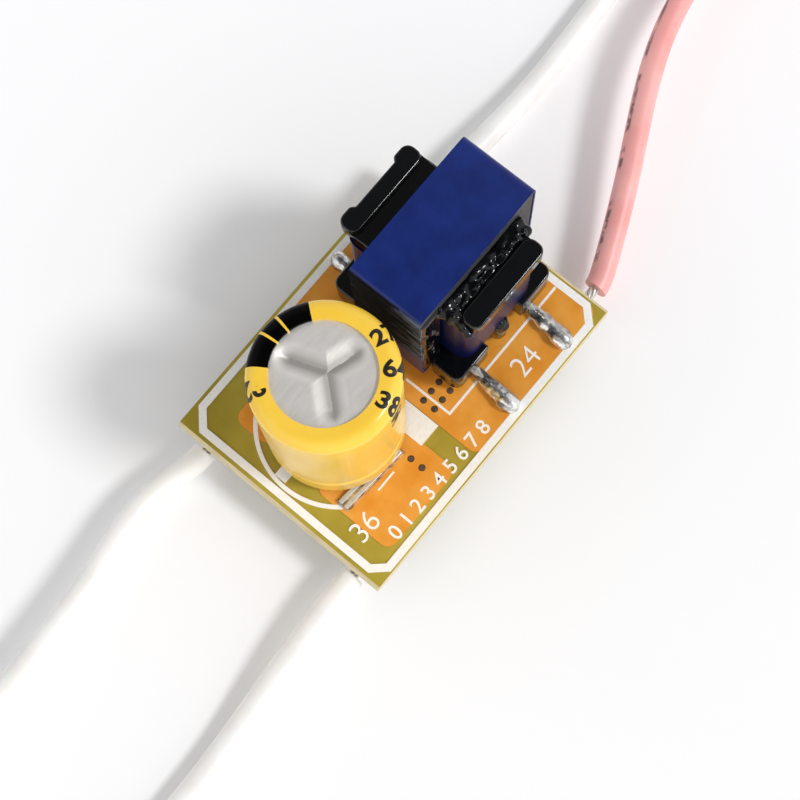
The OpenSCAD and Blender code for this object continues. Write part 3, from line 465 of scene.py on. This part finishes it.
# The vent: three valleys that meet beside the middle and fade before the rim
vent_meeting, vent_r, vent_fade, valley_half_w, valley_depth = Vector((0.27, -0.02)), 3.15, 1.1, 1.1, 0.4 * mm
for v in bm.verts:
    spot = Vector((v.co.x, v.co.y)) / mm
    if v.co.z < (can_top - 0.01) * mm or spot.length > vent_r:
        continue
    off, deep = spot - vent_meeting, 0
    for arm in (-17.6, -131, 110):
        ahead = Vector((math.cos(math.radians(arm)), math.sin(math.radians(arm))))
        nearest = ahead * max(off.dot(ahead), 0)
        deep = max(deep, max(1 - (off - nearest).length / valley_half_w, 0) ** 1.6)
    fade = min((vent_r - spot.length) / vent_fade, 1)
    v.co.z -= valley_depth * deep * fade * fade * (3 - 2 * fade)
bmesh.ops.recalc_face_normals(bm, faces=bm.faces)
bmesh.ops.transform(bm, matrix=cap_axis, verts=bm.verts)
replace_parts(new_piece("can_shell", bm, aluminium, "can", 50), "capacitor_can")

# Seal
# Butyl rubber, punched for the two leads and squeezed by the groove.
# Rubber: almost black, matt, with a bloom in spots of 0.6 mm
rubber, tree, surface = new_material("butyl_rubber", Roughness=0.85)
place = add_node(tree, "TexCoord")
bloom = add_node(tree, "TexNoise", {"Vector": place.outputs["Object"], "Scale": 1 / (0.6 * mm), "Detail": 4.0})
tone = add_node(tree, "ValToRGB", {"Fac": bloom.outputs["Fac"]})
tone.color_ramp.elements[0].color, tone.color_ramp.elements[1].color = linear("#1c1c1d"), linear("#343333")
tree.links.new(tone.outputs["Color"], surface.inputs["Base Color"])
dress(rubber, "capacitor_bung")

# Sleeve
# A printed PVC tube, shrunk over the can so that it folds in over the rim and the foot.
# A black band marks the negative side, split by two thin yellow lines.
sleeve_top, sleeve_r = 11.65 * mm, 4.35 * mm
# Shrunk PVC: glossy and slightly wavy over 2 mm. Below the shoulder its colour is painted paler, a painted reflection
# of the pale board and card
shrunk, tree, surface = new_material("shrunk_yellow_pvc", Roughness=0.2)
place = add_node(tree, "TexCoord")
centred = add_node(tree, "Mapping", {"Vector": place.outputs["Object"], **upright})
axes = add_node(tree, "SeparateXYZ", {"Vector": centred.outputs["Vector"]})
cloud = add_node(tree, "TexNoise", {"Vector": place.outputs["Object"], "Scale": 1 / (2.2 * mm), "Detail": 3.0})
tone = add_node(tree, "ValToRGB", {"Fac": cloud.outputs["Fac"]})
tone.color_ramp.elements[0].color, tone.color_ramp.elements[1].color = linear("#f6c335"), linear("#fdd755")
# Painted reflection: the colour turns paler from 1.3 mm to 3 mm below the sleeve's top
painted_reflection_span = {"From Min": sleeve_top - 3 * mm, "From Max": sleeve_top - 1.3 * mm, "To Min": 0.6, "To Max": 0.0}
low = add_node(tree, "MapRange", {"Value": axes.outputs["Z"], **painted_reflection_span})
yellow = add_node(tree, "Mix", {0: low.outputs[0], 6: tone.outputs["Color"], 7: linear("#e8bf5e")}, data_type="RGBA")
angle = add_node(tree, "Math", {0: axes.outputs["Y"], 1: axes.outputs["X"]}, operation="ARCTAN2")
band_middle, band_half, line_half = math.radians(88), math.radians(36), math.radians(1.2)
band = add_node(tree, "Math", {0: angle.outputs[0], 1: band_middle}, operation="SUBTRACT")
band = add_node(tree, "Math", {0: band.outputs[0]}, operation="ABSOLUTE")
band = add_node(tree, "Math", {0: band.outputs[0], 1: band_half}, operation="LESS_THAN")
black = band.outputs[0]
for line in (79, 95.5):
    gap = add_node(tree, "Math", {0: angle.outputs[0], 1: math.radians(line)}, operation="SUBTRACT")
    gap = add_node(tree, "Math", {0: gap.outputs[0]}, operation="ABSOLUTE")
    gap = add_node(tree, "Math", {0: gap.outputs[0], 1: line_half}, operation="GREATER_THAN")
    black = add_node(tree, "Math", {0: black, 1: gap.outputs[0]}, operation="MULTIPLY").outputs[0]
printed = add_node(tree, "Mix", {0: black, 6: yellow.outputs[2], 7: linear("#050505")}, data_type="RGBA")
wave = add_node(tree, "TexNoise", {"Vector": place.outputs["Object"], "Scale": 1 / (2 * mm), "Detail": 1.0})
dent = add_node(tree, "Bump", {"Height": wave.outputs["Fac"], "Strength": 0.2, "Distance": 0.08 * mm})
dull = add_node(tree, "MapRange", {"Value": black, "To Min": 0.4, "To Max": 0.05})
tree.links.new(dull.outputs[0], surface.inputs["Specular IOR Level"])
tree.links.new(printed.outputs[2], surface.inputs["Base Color"])
tree.links.new(dent.outputs["Normal"], surface.inputs["Normal"])
dress(shrunk, "capacitor_sleeve")

# Sleeve print
# Plain numbers in black ink, in lines that run down the can from its rim.
# Ink on PVC: black, satin, worn in specks of 0.15 mm
black_ink, tree, surface = new_material("black_ink", Roughness=0.4)
place = add_node(tree, "TexCoord")
speck = add_node(tree, "TexNoise", {"Vector": place.outputs["Object"], "Scale": 1 / (0.15 * mm), "Detail": 2.0})
tone = add_node(tree, "ValToRGB", {"Fac": speck.outputs["Fac"]})
tone.color_ramp.elements[0].color, tone.color_ramp.elements[1].color = linear("#4a3a14"), linear("#14110c")
tone.color_ramp.elements[0].position, tone.color_ramp.elements[1].position = 0.28, 0.42
tree.links.new(tone.outputs["Color"], surface.inputs["Base Color"])
shoulder_r, rim_r, margin, tall = 0.77 * mm, 3.05 * mm, 0.15 * mm, 1.6 * mm
flat = sleeve_r - shoulder_r - rim_r
bm = bmesh.new()
for words, turn in (("27 36", -17), ("64 81 27", -47), ("38 64", -76), ("92 36 81", 142)):
    text = bpy.data.curves.new("number", "FONT")
    text.body, text.size, text.align_y, text.space_character = words, tall, "CENTER", 1.05
    text.offset = 0.05 * mm
    holder = bpy.data.objects.new("number", text)
    line = bmesh.new()
    line.from_mesh(bpy.data.meshes.new_from_object(holder))
    bpy.data.objects.remove(holder)
    # Cut along and across, so that the figures can follow the curved sleeve
    cuts = [((i * 0.25 * mm, 0, 0), (1, 0, 0)) for i in range(1, 45)]
    cuts += [((0, i * 0.15 * mm, 0), (0, 1, 0)) for i in range(-5, 6)]
    for at, ahead in cuts:
        bmesh.ops.bisect_plane(line, geom=[*line.verts, *line.edges, *line.faces], plane_co=at, plane_no=ahead)
    for v in line.verts:
        down, theta = v.co.x + margin, math.radians(turn) + v.co.y / sleeve_r
        bend = min(max((down - flat) / shoulder_r, 0), math.pi / 2)
        out = rim_r + min(down, flat) + (shoulder_r + ink_t) * math.sin(bend)
        drop = shoulder_r * (1 - math.cos(bend)) + max(down - flat - shoulder_r * math.pi / 2, 0)
        high = sleeve_top - drop + ink_t * math.cos(bend)
        v.co = cap_axis @ Vector((out * math.cos(theta), out * math.sin(theta), high))
    numbers = bpy.data.meshes.new("number")
    line.to_mesh(numbers)
    line.free()
    bm.from_mesh(numbers)
new_piece("sleeve_print", bm, black_ink, "sleeve")

# Solder
# Tin solder, melted over each joint and set in a smooth skin with drawn-out ends.
# Tin: bright and mirror-like in streaks of 0.4 by 1.4 mm, duller and darker grey between them
solder, tree, surface = new_material("tin_solder", Metallic=0.9)
place = add_node(tree, "TexCoord")
streaky = (1 / (0.4 * mm), 1 / (1.4 * mm), 1 / (0.4 * mm))
drawn = add_node(tree, "Mapping", {"Vector": place.outputs["Object"], "Scale": streaky})
skin = add_node(tree, "TexNoise", {"Vector": drawn.outputs["Vector"], "Scale": 1.0, "Detail": 4.0, "Roughness": 0.6})
tone = add_node(tree, "ValToRGB", {"Fac": skin.outputs["Fac"]})
tone.color_ramp.elements[0].color, tone.color_ramp.elements[1].color = linear("#6f6c66"), linear("#f4f3f1")
tone.color_ramp.elements[0].position, tone.color_ramp.elements[1].position = 0.35, 0.6
dull_to_bright = {"From Min": 0.3, "From Max": 0.7, "To Min": 0.4, "To Max": 0.12}
rough = add_node(tree, "MapRange", {"Value": skin.outputs["Fac"], **dull_to_bright})
dent = add_node(tree, "Bump", {"Height": skin.outputs["Fac"], "Strength": 0.3, "Distance": 0.06 * mm})
tree.links.new(tone.outputs["Color"], surface.inputs["Base Color"])
tree.links.new(rough.outputs[0], surface.inputs["Roughness"])
tree.links.new(dent.outputs["Normal"], surface.inputs["Normal"])


def fused_drops(name, drops, material, slot, voxel, level=None, side=1):
    """One smooth skin over drops that have run together, cut flat where they lie: side 1 keeps what is above."""
    bm = bmesh.new()
    for centre, radius in drops:
        spot = Matrix.Translation(Vector(centre) * mm)
        bmesh.ops.create_icosphere(bm, subdivisions=2, radius=radius * mm, matrix=spot)
    mesh = bpy.data.meshes.new(name)
    bm.to_mesh(mesh)
    bm.free()
    holder = bpy.data.objects.new(name + "_drops", mesh)
    bpy.context.scene.collection.objects.link(holder)
    skin = holder.modifiers.new("skin", "REMESH")
    skin.mode, skin.voxel_size = "VOXEL", voxel * mm
    soft = holder.modifiers.new("soft", "SMOOTH")
    soft.factor, soft.iterations = 0.5, 12
    bm = bmesh.new()
    bm.from_object(holder, bpy.context.evaluated_depsgraph_get())
    bpy.data.objects.remove(holder)
    if level is not None:
        cut = bmesh.ops.bisect_plane(
            bm, geom=[*bm.verts, *bm.edges, *bm.faces],
            plane_co=(0, 0, level * mm), plane_no=(0, 0, side), clear_inner=True,
        )
        bmesh.ops.holes_fill(bm, edges=[g for g in cut["geom_cut"] if isinstance(g, bmesh.types.BMEdge)])
    return new_piece(name, bm, material, slot, 70)


def rounded_copy(name, node, width, material, slot):
    """A CAD node's shape, joined up, with its outer edges rounded by a width in millimetres."""
    source = nodes[node].data
    bm = bmesh.new()
    corners = [bm.verts.new(v.co) for v in source.vertices]
    for polygon in source.polygons:
        bm.faces.new([corners[i] for i in polygon.vertices])
    bmesh.ops.remove_doubles(bm, verts=bm.verts, dist=0.002 * mm)
    bmesh.ops.dissolve_limit(bm, angle_limit=math.radians(1), verts=bm.verts, edges=bm.edges)
    sharp = [e for e in bm.edges if e.is_manifold and e.calc_face_angle_signed() > math.radians(40)]
    bmesh.ops.bevel(bm, geom=sharp, offset=width * mm, affect="EDGES", segments=3, profile=0.5, material=-1)
    piece = new_piece(name, bm, material, slot, 50)
    piece.modifiers.new("even", "WEIGHTED_NORMAL").keep_sharp = True
    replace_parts(piece, node)


luck = random.Random(5)
# Heights of the pads over and under the board
upper_pads, lower_pads = 3.74, 2.4
drops = []
# Pins: root, direction, and the solder's radius at points along it
for root, ahead, run in (
    ((3.1, -3.05), (-0.105, -0.995), ((1.3, 0.42), (1.9, 0.46), (2.5, 0.55), (3.1, 0.6), (3.7, 0.68), (4.12, 0.63))),
    ((8.4, -3.05), (-0.105, -0.995), ((1.3, 0.43), (1.9, 0.48), (2.5, 0.62), (3.0, 0.55), (3.7, 0.7), (4.1, 0.65))),
    ((3.1, 4.65), (0, 1), ((1.35, 0.42), (1.8, 0.54), (2.4, 0.62))),
    ((8.4, 4.65), (0, 1), ((1.35, 0.44), (1.8, 0.56), (2.45, 0.6))),
):
    for (t0, r0), (t1, r1) in zip(run, run[1:]):
        for share in (0, 0.2, 0.4, 0.6, 0.8, 1):
            t, r = t0 + (t1 - t0) * share, r0 + (r1 - r0) * share
            spot = Vector(root) + Vector(ahead) * t + Vector((luck.uniform(-0.04, 0.04), 0))
            drops.append(((spot.x, spot.y, upper_pads + 0.36 * r + luck.uniform(-0.02, 0.03)), r))
pin_joints = fused_drops("pin_joints", drops, solder, "solder", 0.06, upper_pads)
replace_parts(pin_joints, "pin_solder")
drops = []
# Leads: distance of each drop from the board's middle, and its radius
for points in routes.values():
    side, y = math.copysign(1, points[0][0]), points[0][1]
    for x, r in ((9.0, 0.55), (9.3, 0.72), (9.65, 0.8), (10.0, 0.75), (10.3, 0.6), (10.55, 0.42)):
        drops.append(((side * x, y + luck.uniform(-0.08, 0.08), lower_pads - 0.4 * r), r))
lead_joints = fused_drops("lead_joints", drops, solder, "solder", 0.07, lower_pads, -1)
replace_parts(lead_joints, "lead_solder")
dress(tinned, "transformer_pins")
dress(solder, "capacitor_solder", "bottom_copper")
rounded_copy("foot_strips", "capacitor_leads", 0.06, tinned, "tinned")

# Core
# Two sintered ferrite E halves, ground where they meet and glued through the bobbin.
# Ferrite: dark grey ceramic, matt, with pores of about 0.15 mm
ferrite, tree, surface = new_material("sintered_ferrite", Roughness=0.6)
place = add_node(tree, "TexCoord")
pore = add_node(tree, "TexNoise", {"Vector": place.outputs["Object"], "Scale": 1 / (0.15 * mm), "Detail": 3.0})
tone = add_node(tree, "ValToRGB", {"Fac": pore.outputs["Fac"]})
tone.color_ramp.elements[0].color, tone.color_ramp.elements[1].color = linear("#1e1e20"), linear("#4a4a4d")
dent = add_node(tree, "Bump", {"Height": pore.outputs["Fac"], "Strength": 0.3, "Distance": 0.03 * mm})
tree.links.new(tone.outputs["Color"], surface.inputs["Base Color"])
tree.links.new(dent.outputs["Normal"], surface.inputs["Normal"])
for node in ("core_upper", "core_lower"):
    rounded_copy(node + "_half", node, 0.12, ferrite, "ferrite")

# Core tape
# Blue polyester film tape, wound three times round the two halves. Varnish has run down its face beside the capacitor.
tape_low, tape_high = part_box("core_tape")
# Polyester film: deep blue with a soft sheen, faintly creased over some 1.6 mm
film, tree, surface = new_material("blue_polyester_film")
place = add_node(tree, "TexCoord")
creased = {"Scale": 1 / (1.6 * mm), "Detail": 6.0, "Roughness": 0.6}
cloud = add_node(tree, "TexNoise", {"Vector": place.outputs["Object"], **creased})
tone = add_node(tree, "ValToRGB", {"Fac": cloud.outputs["Fac"]})
tone.color_ramp.elements[0].color, tone.color_ramp.elements[1].color = linear("#0e2162"), linear("#142b74")
tone.color_ramp.elements[0].position, tone.color_ramp.elements[1].position = 0.35, 0.7
dent = add_node(tree, "Bump", {"Height": cloud.outputs["Fac"], "Strength": 0.12, "Distance": 0.06 * mm})
# Varnish smear: nearly black and dull. Its grey streaks of 2.2 by 0.45 mm along the face, most at its front, are a
# painted reflection
axes = add_node(tree, "SeparateXYZ", {"Vector": place.outputs["Object"]})
face_only = {"From Min": tape_low.x + 0.06 * mm, "From Max": tape_low.x + 0.2 * mm, "To Min": 1.0, "To Max": 0.0}
upper_part = {"From Min": tape_low.z + 2.5 * mm, "From Max": tape_low.z + 4.5 * mm}
sheen_front_most = {"From Min": tape_low.y, "From Max": tape_low.y + 3.5 * mm, "To Min": 0.16, "To Max": -0.06}
beside = add_node(tree, "MapRange", {"Value": axes.outputs["X"], **face_only})
above = add_node(tree, "MapRange", {"Value": axes.outputs["Z"], **upper_part})
sheen_near_front = add_node(tree, "MapRange", {"Value": axes.outputs["Y"], **sheen_front_most})
smear = add_node(tree, "Math", {0: beside.outputs[0], 1: above.outputs[0]}, operation="MULTIPLY")
sheen_strokes = (1 / (0.5 * mm), 1 / (2.2 * mm), 1 / (0.45 * mm))
drawn = add_node(tree, "Mapping", {"Vector": place.outputs["Object"], "Scale": sheen_strokes})
sheen_streak = add_node(tree, "TexNoise", {"Vector": drawn.outputs["Vector"], "Scale": 1.0, "Detail": 4.0, "Roughness": 0.7})
sheen_streak = add_node(tree, "Math", {0: sheen_streak.outputs["Fac"], 1: sheen_near_front.outputs[0]})
# Painted reflection: grey streaks in the smear's colour stand in for the sheen of the face
painted_sheen_streaks = add_node(tree, "ValToRGB", {"Fac": sheen_streak.outputs[0]})
painted_sheen_streaks.color_ramp.elements[0].color, painted_sheen_streaks.color_ramp.elements[1].color = linear("#050609"), linear("#727c8e")
painted_sheen_streaks.color_ramp.elements[0].position, painted_sheen_streaks.color_ramp.elements[1].position = 0.56, 0.84
smear_and_sheen = {0: smear.outputs[0], 6: tone.outputs["Color"], 7: painted_sheen_streaks.outputs["Color"]}
mixed = add_node(tree, "Mix", smear_and_sheen, data_type="RGBA")
dry = add_node(tree, "MapRange", {"Value": smear.outputs[0], "To Min": 0.3, "To Max": 0.85})
dull = add_node(tree, "MapRange", {"Value": smear.outputs[0], "To Min": 0.4, "To Max": 0.12})
tree.links.new(dry.outputs[0], surface.inputs["Roughness"])
tree.links.new(dull.outputs[0], surface.inputs["Specular IOR Level"])
tree.links.new(mixed.outputs[2], surface.inputs["Base Color"])
tree.links.new(dent.outputs["Normal"], surface.inputs["Normal"])
# The wrap: a box whose long edges are rounded, opened at its two ends and given the tape's thickness
bm = bmesh.new()
middle, span = (tape_low + tape_high) / 2, tape_high - tape_low
bmesh.ops.create_cube(bm, size=1, matrix=Matrix.LocRotScale(middle, None, span))
ends = [f for f in bm.faces if abs(f.normal.y) > 0.9]
bmesh.ops.delete(bm, geom=ends, context="FACES_ONLY")
long_edges = [e for e in bm.edges if abs(e.verts[0].co.y - e.verts[1].co.y) > 1 * mm]
fold_r, tape_t = 0.4 * mm, 0.12 * mm
bmesh.ops.bevel(bm, geom=long_edges, offset=fold_r, affect="EDGES", segments=6, profile=0.5, material=-1)
bmesh.ops.recalc_face_normals(bm, faces=bm.faces)
bmesh.ops.solidify(bm, geom=bm.faces[:], thickness=tape_t)
wrap = new_piece("core_wrap", bm, film, "tape", 50)
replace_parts(wrap, "core_tape")
# Film over the winding: the same blue, wet with varnish and glossy, uneven over 1.1 mm. Its darker blue is painted
# shade from the flange above it
shaded_wet_film, tree, surface = new_material("varnished_film_painted_shade", Roughness=0.3, Specular_IOR_Level=0.18)
place = add_node(tree, "TexCoord")
cloud = add_node(tree, "TexNoise", {"Vector": place.outputs["Object"], "Scale": 1 / (1.1 * mm), "Detail": 3.0})
tone = add_node(tree, "ValToRGB", {"Fac": cloud.outputs["Fac"]})
tone.color_ramp.elements[0].color, tone.color_ramp.elements[1].color = linear("#03062a"), linear("#070e48")
dent = add_node(tree, "Bump", {"Height": cloud.outputs["Fac"], "Strength": 0.2, "Distance": 0.06 * mm})
tree.links.new(tone.outputs["Color"], surface.inputs["Base Color"])
tree.links.new(dent.outputs["Normal"], surface.inputs["Normal"])
dress(shaded_wet_film, "winding_tape")

# Bobbin
# One glossy black moulding: a tube through the core, two flanges, ribs on the upper one and pin rails below.
# Phenolic moulding: black with a sharp gloss and a faint orange-peel skin of 0.5 mm
phenolic, tree, surface = new_material("black_phenolic", Roughness=0.12, IOR=1.55)
place = add_node(tree, "TexCoord")
peel = add_node(tree, "TexNoise", {"Vector": place.outputs["Object"], "Scale": 1 / (0.5 * mm), "Detail": 2.0})
tone = add_node(tree, "ValToRGB", {"Fac": peel.outputs["Fac"]})
tone.color_ramp.elements[0].color, tone.color_ramp.elements[1].color = linear("#040506"), linear("#0a0b0d")
dent = add_node(tree, "Bump", {"Height": peel.outputs["Fac"], "Strength": 0.12, "Distance": 0.05 * mm})
tree.links.new(tone.outputs["Color"], surface.inputs["Base Color"])
tree.links.new(dent.outputs["Normal"], surface.inputs["Normal"])
rounded_copy("bobbin_moulding", "bobbin", 0.12, phenolic, "bobbin")

# Varnish
# Black dipping varnish, run into the trough between the core and the front rib, round the rib's end and down the core.
# It set in glossy drops and strings.
# Varnish: black and mirror bright, with wrinkles of 0.7 mm
varnish, tree, surface = new_material("dipping_varnish", Roughness=0.06, Specular_IOR_Level=0.32)
place = add_node(tree, "TexCoord")
wrinkle = add_node(tree, "TexNoise", {"Vector": place.outputs["Object"], "Scale": 1 / (0.7 * mm), "Detail": 2.0})
tone = add_node(tree, "ValToRGB", {"Fac": wrinkle.outputs["Fac"]})
tone.color_ramp.elements[0].color, tone.color_ramp.elements[1].color = linear("#030405"), linear("#0b0c0f")
dent = add_node(tree, "Bump", {"Height": wrinkle.outputs["Fac"], "Strength": 0.15, "Distance": 0.08 * mm})
tree.links.new(tone.outputs["Color"], surface.inputs["Base Color"])
tree.links.new(dent.outputs["Normal"], surface.inputs["Normal"])
luck = random.Random(11)
front, trough = tape_low.y / mm, 13.98
drops = []
# Two strings along the trough, with loose drops on them
for i in range(90):
    x = 2.45 + i * 0.075
    sway = 0.06 * math.sin(x * 5.1) + 0.1 * math.sin(x * 2.3 + 1) + luck.uniform(0, 0.02)
    drops.append(((x, front - 0.22 + sway * 0.7, trough + sway), 0.42))
    drops.append(((x, front - 0.82 + sway * 0.5, trough - 0.06 - sway * 0.7), 0.36))
for _ in range(34):
    x, y, z = luck.uniform(2.4, 8.9), front - luck.uniform(0.15, 0.85), trough + luck.uniform(0.1, 0.24)
    drops.append(((x, y, z), luck.uniform(0.2, 0.34)))
# A sheet down the end of the core, with drops on its front
for i in range(60):
    z = 5.7 + i * 0.15
    drops += [((x, front + 0.3, z), 0.5) for x in (1.15, 1.45, 1.75, 2.05)]
for i in range(9):
    x, z = luck.uniform(1.0, 2.1), 6 + i * luck.uniform(0.8, 0.95)
    drops.append(((x, front - 0.02, z), luck.uniform(0.22, 0.3)))
# A lump on the lower rail and drops round the rib's end: place and radius
for x, y, z, r in (
    (5.7, -3.75, 6.5, 0.45), (5.8, -3.95, 6.2, 0.42), (5.75, -3.5, 6.6, 0.4), (2.75, -2.85, 14.0, 0.34),
    (2.6, -3.2, 13.9, 0.36), (2.5, -3.5, 13.75, 0.34), (2.45, -3.85, 13.55, 0.3), (2.95, -3.2, 14.1, 0.24),
):
    drops.append(((x, y, z), r))
fused_drops("varnish_runs", drops, varnish, "bobbin", 0.06)

# Winding
# Enamelled copper wire, wound in layers on the bobbin and hidden under the tape.
# Enamelled wire: reddish, glossy, in turns of 0.2 mm; the wave repeats each tau / 20 at a scale of 1
enamel, tree, surface = new_material("enamelled_copper", Metallic=0.8, Roughness=0.3)
place = add_node(tree, "TexCoord")
turn_scale = math.tau / 20 / (0.2 * mm)
turns = add_node(tree, "TexWave", {"Vector": place.outputs["Object"], "Scale": turn_scale}, bands_direction="Z")
tone = add_node(tree, "ValToRGB", {"Fac": turns.outputs["Fac"]})
tone.color_ramp.elements[0].color, tone.color_ramp.elements[1].color = linear("#5f2c12"), linear("#c5713a")
tree.links.new(tone.outputs["Color"], surface.inputs["Base Color"])
dress(enamel, "winding")

# Packages under the board
# Moulded epoxy bodies on bent tinned leads: a rectifier, the controller and two diodes.
# Moulding compound: black, matt, with a fine spark-eroded grain of 0.1 mm
epoxy, tree, surface = new_material("moulded_epoxy", Roughness=0.62)
place = add_node(tree, "TexCoord")
grit = add_node(tree, "TexNoise", {"Vector": place.outputs["Object"], "Scale": 1 / (0.1 * mm), "Detail": 2.0})
tone = add_node(tree, "ValToRGB", {"Fac": grit.outputs["Fac"]})
tone.color_ramp.elements[0].color, tone.color_ramp.elements[1].color = linear("#121213"), linear("#262627")
dent = add_node(tree, "Bump", {"Height": grit.outputs["Fac"], "Strength": 0.3, "Distance": 0.02 * mm})
# A pale stripe marks one end of each diode
axes = add_node(tree, "SeparateXYZ", {"Vector": place.outputs["Object"]})
stripe_x, stripe_half = 5.4 * mm, 0.3 * mm
stripe = add_node(tree, "Math", {0: axes.outputs["X"], 1: stripe_x, 2: stripe_half}, operation="COMPARE")
marked = add_node(tree, "Mix", {0: stripe.outputs[0], 6: tone.outputs["Color"], 7: linear("#a9a8a3")}, data_type="RGBA")
tree.links.new(marked.outputs[2], surface.inputs["Base Color"])
tree.links.new(dent.outputs["Normal"], surface.inputs["Normal"])
for node in ("bridge_body", "driver_ic_body", "diode_bodies"):
    rounded_copy(node + "_moulding", node, 0.06, epoxy, "package")
dress(tinned, "bridge_leads", "driver_ic_leads", "diode_leads", "resistor_terminals", "ceramic_terminals")

# Chips
# Resistors with a black glaze over a ceramic plate, and layered ceramic capacitors, both with tinned ends.
# Glaze: black and glossy, uneven over 0.4 mm
glaze, tree, surface = new_material("black_glaze", Roughness=0.25)
place = add_node(tree, "TexCoord")
cloud = add_node(tree, "TexNoise", {"Vector": place.outputs["Object"], "Scale": 1 / (0.4 * mm), "Detail": 3.0})
tone = add_node(tree, "ValToRGB", {"Fac": cloud.outputs["Fac"]})
tone.color_ramp.elements[0].color, tone.color_ramp.elements[1].color = linear("#0b0b0c"), linear("#1b1b1d")
tree.links.new(tone.outputs["Color"], surface.inputs["Base Color"])
dress(glaze, "chip_resistors")
# Fired ceramic: tan, matt, with grains of 0.12 mm
fired, tree, surface = new_material("fired_ceramic", Roughness=0.55)
place = add_node(tree, "TexCoord")
grit = add_node(tree, "TexNoise", {"Vector": place.outputs["Object"], "Scale": 1 / (0.12 * mm), "Detail": 3.0})
tone = add_node(tree, "ValToRGB", {"Fac": grit.outputs["Fac"]})
tone.color_ramp.elements[0].color, tone.color_ramp.elements[1].color = linear("#8d6a45"), linear("#b28c62")
tree.links.new(tone.outputs["Color"], surface.inputs["Base Color"])
dress(fired, "ceramic_capacitors")

size = {"cad": [list(corner) for corner in cad_box], "visual": [list(corner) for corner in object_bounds()]}
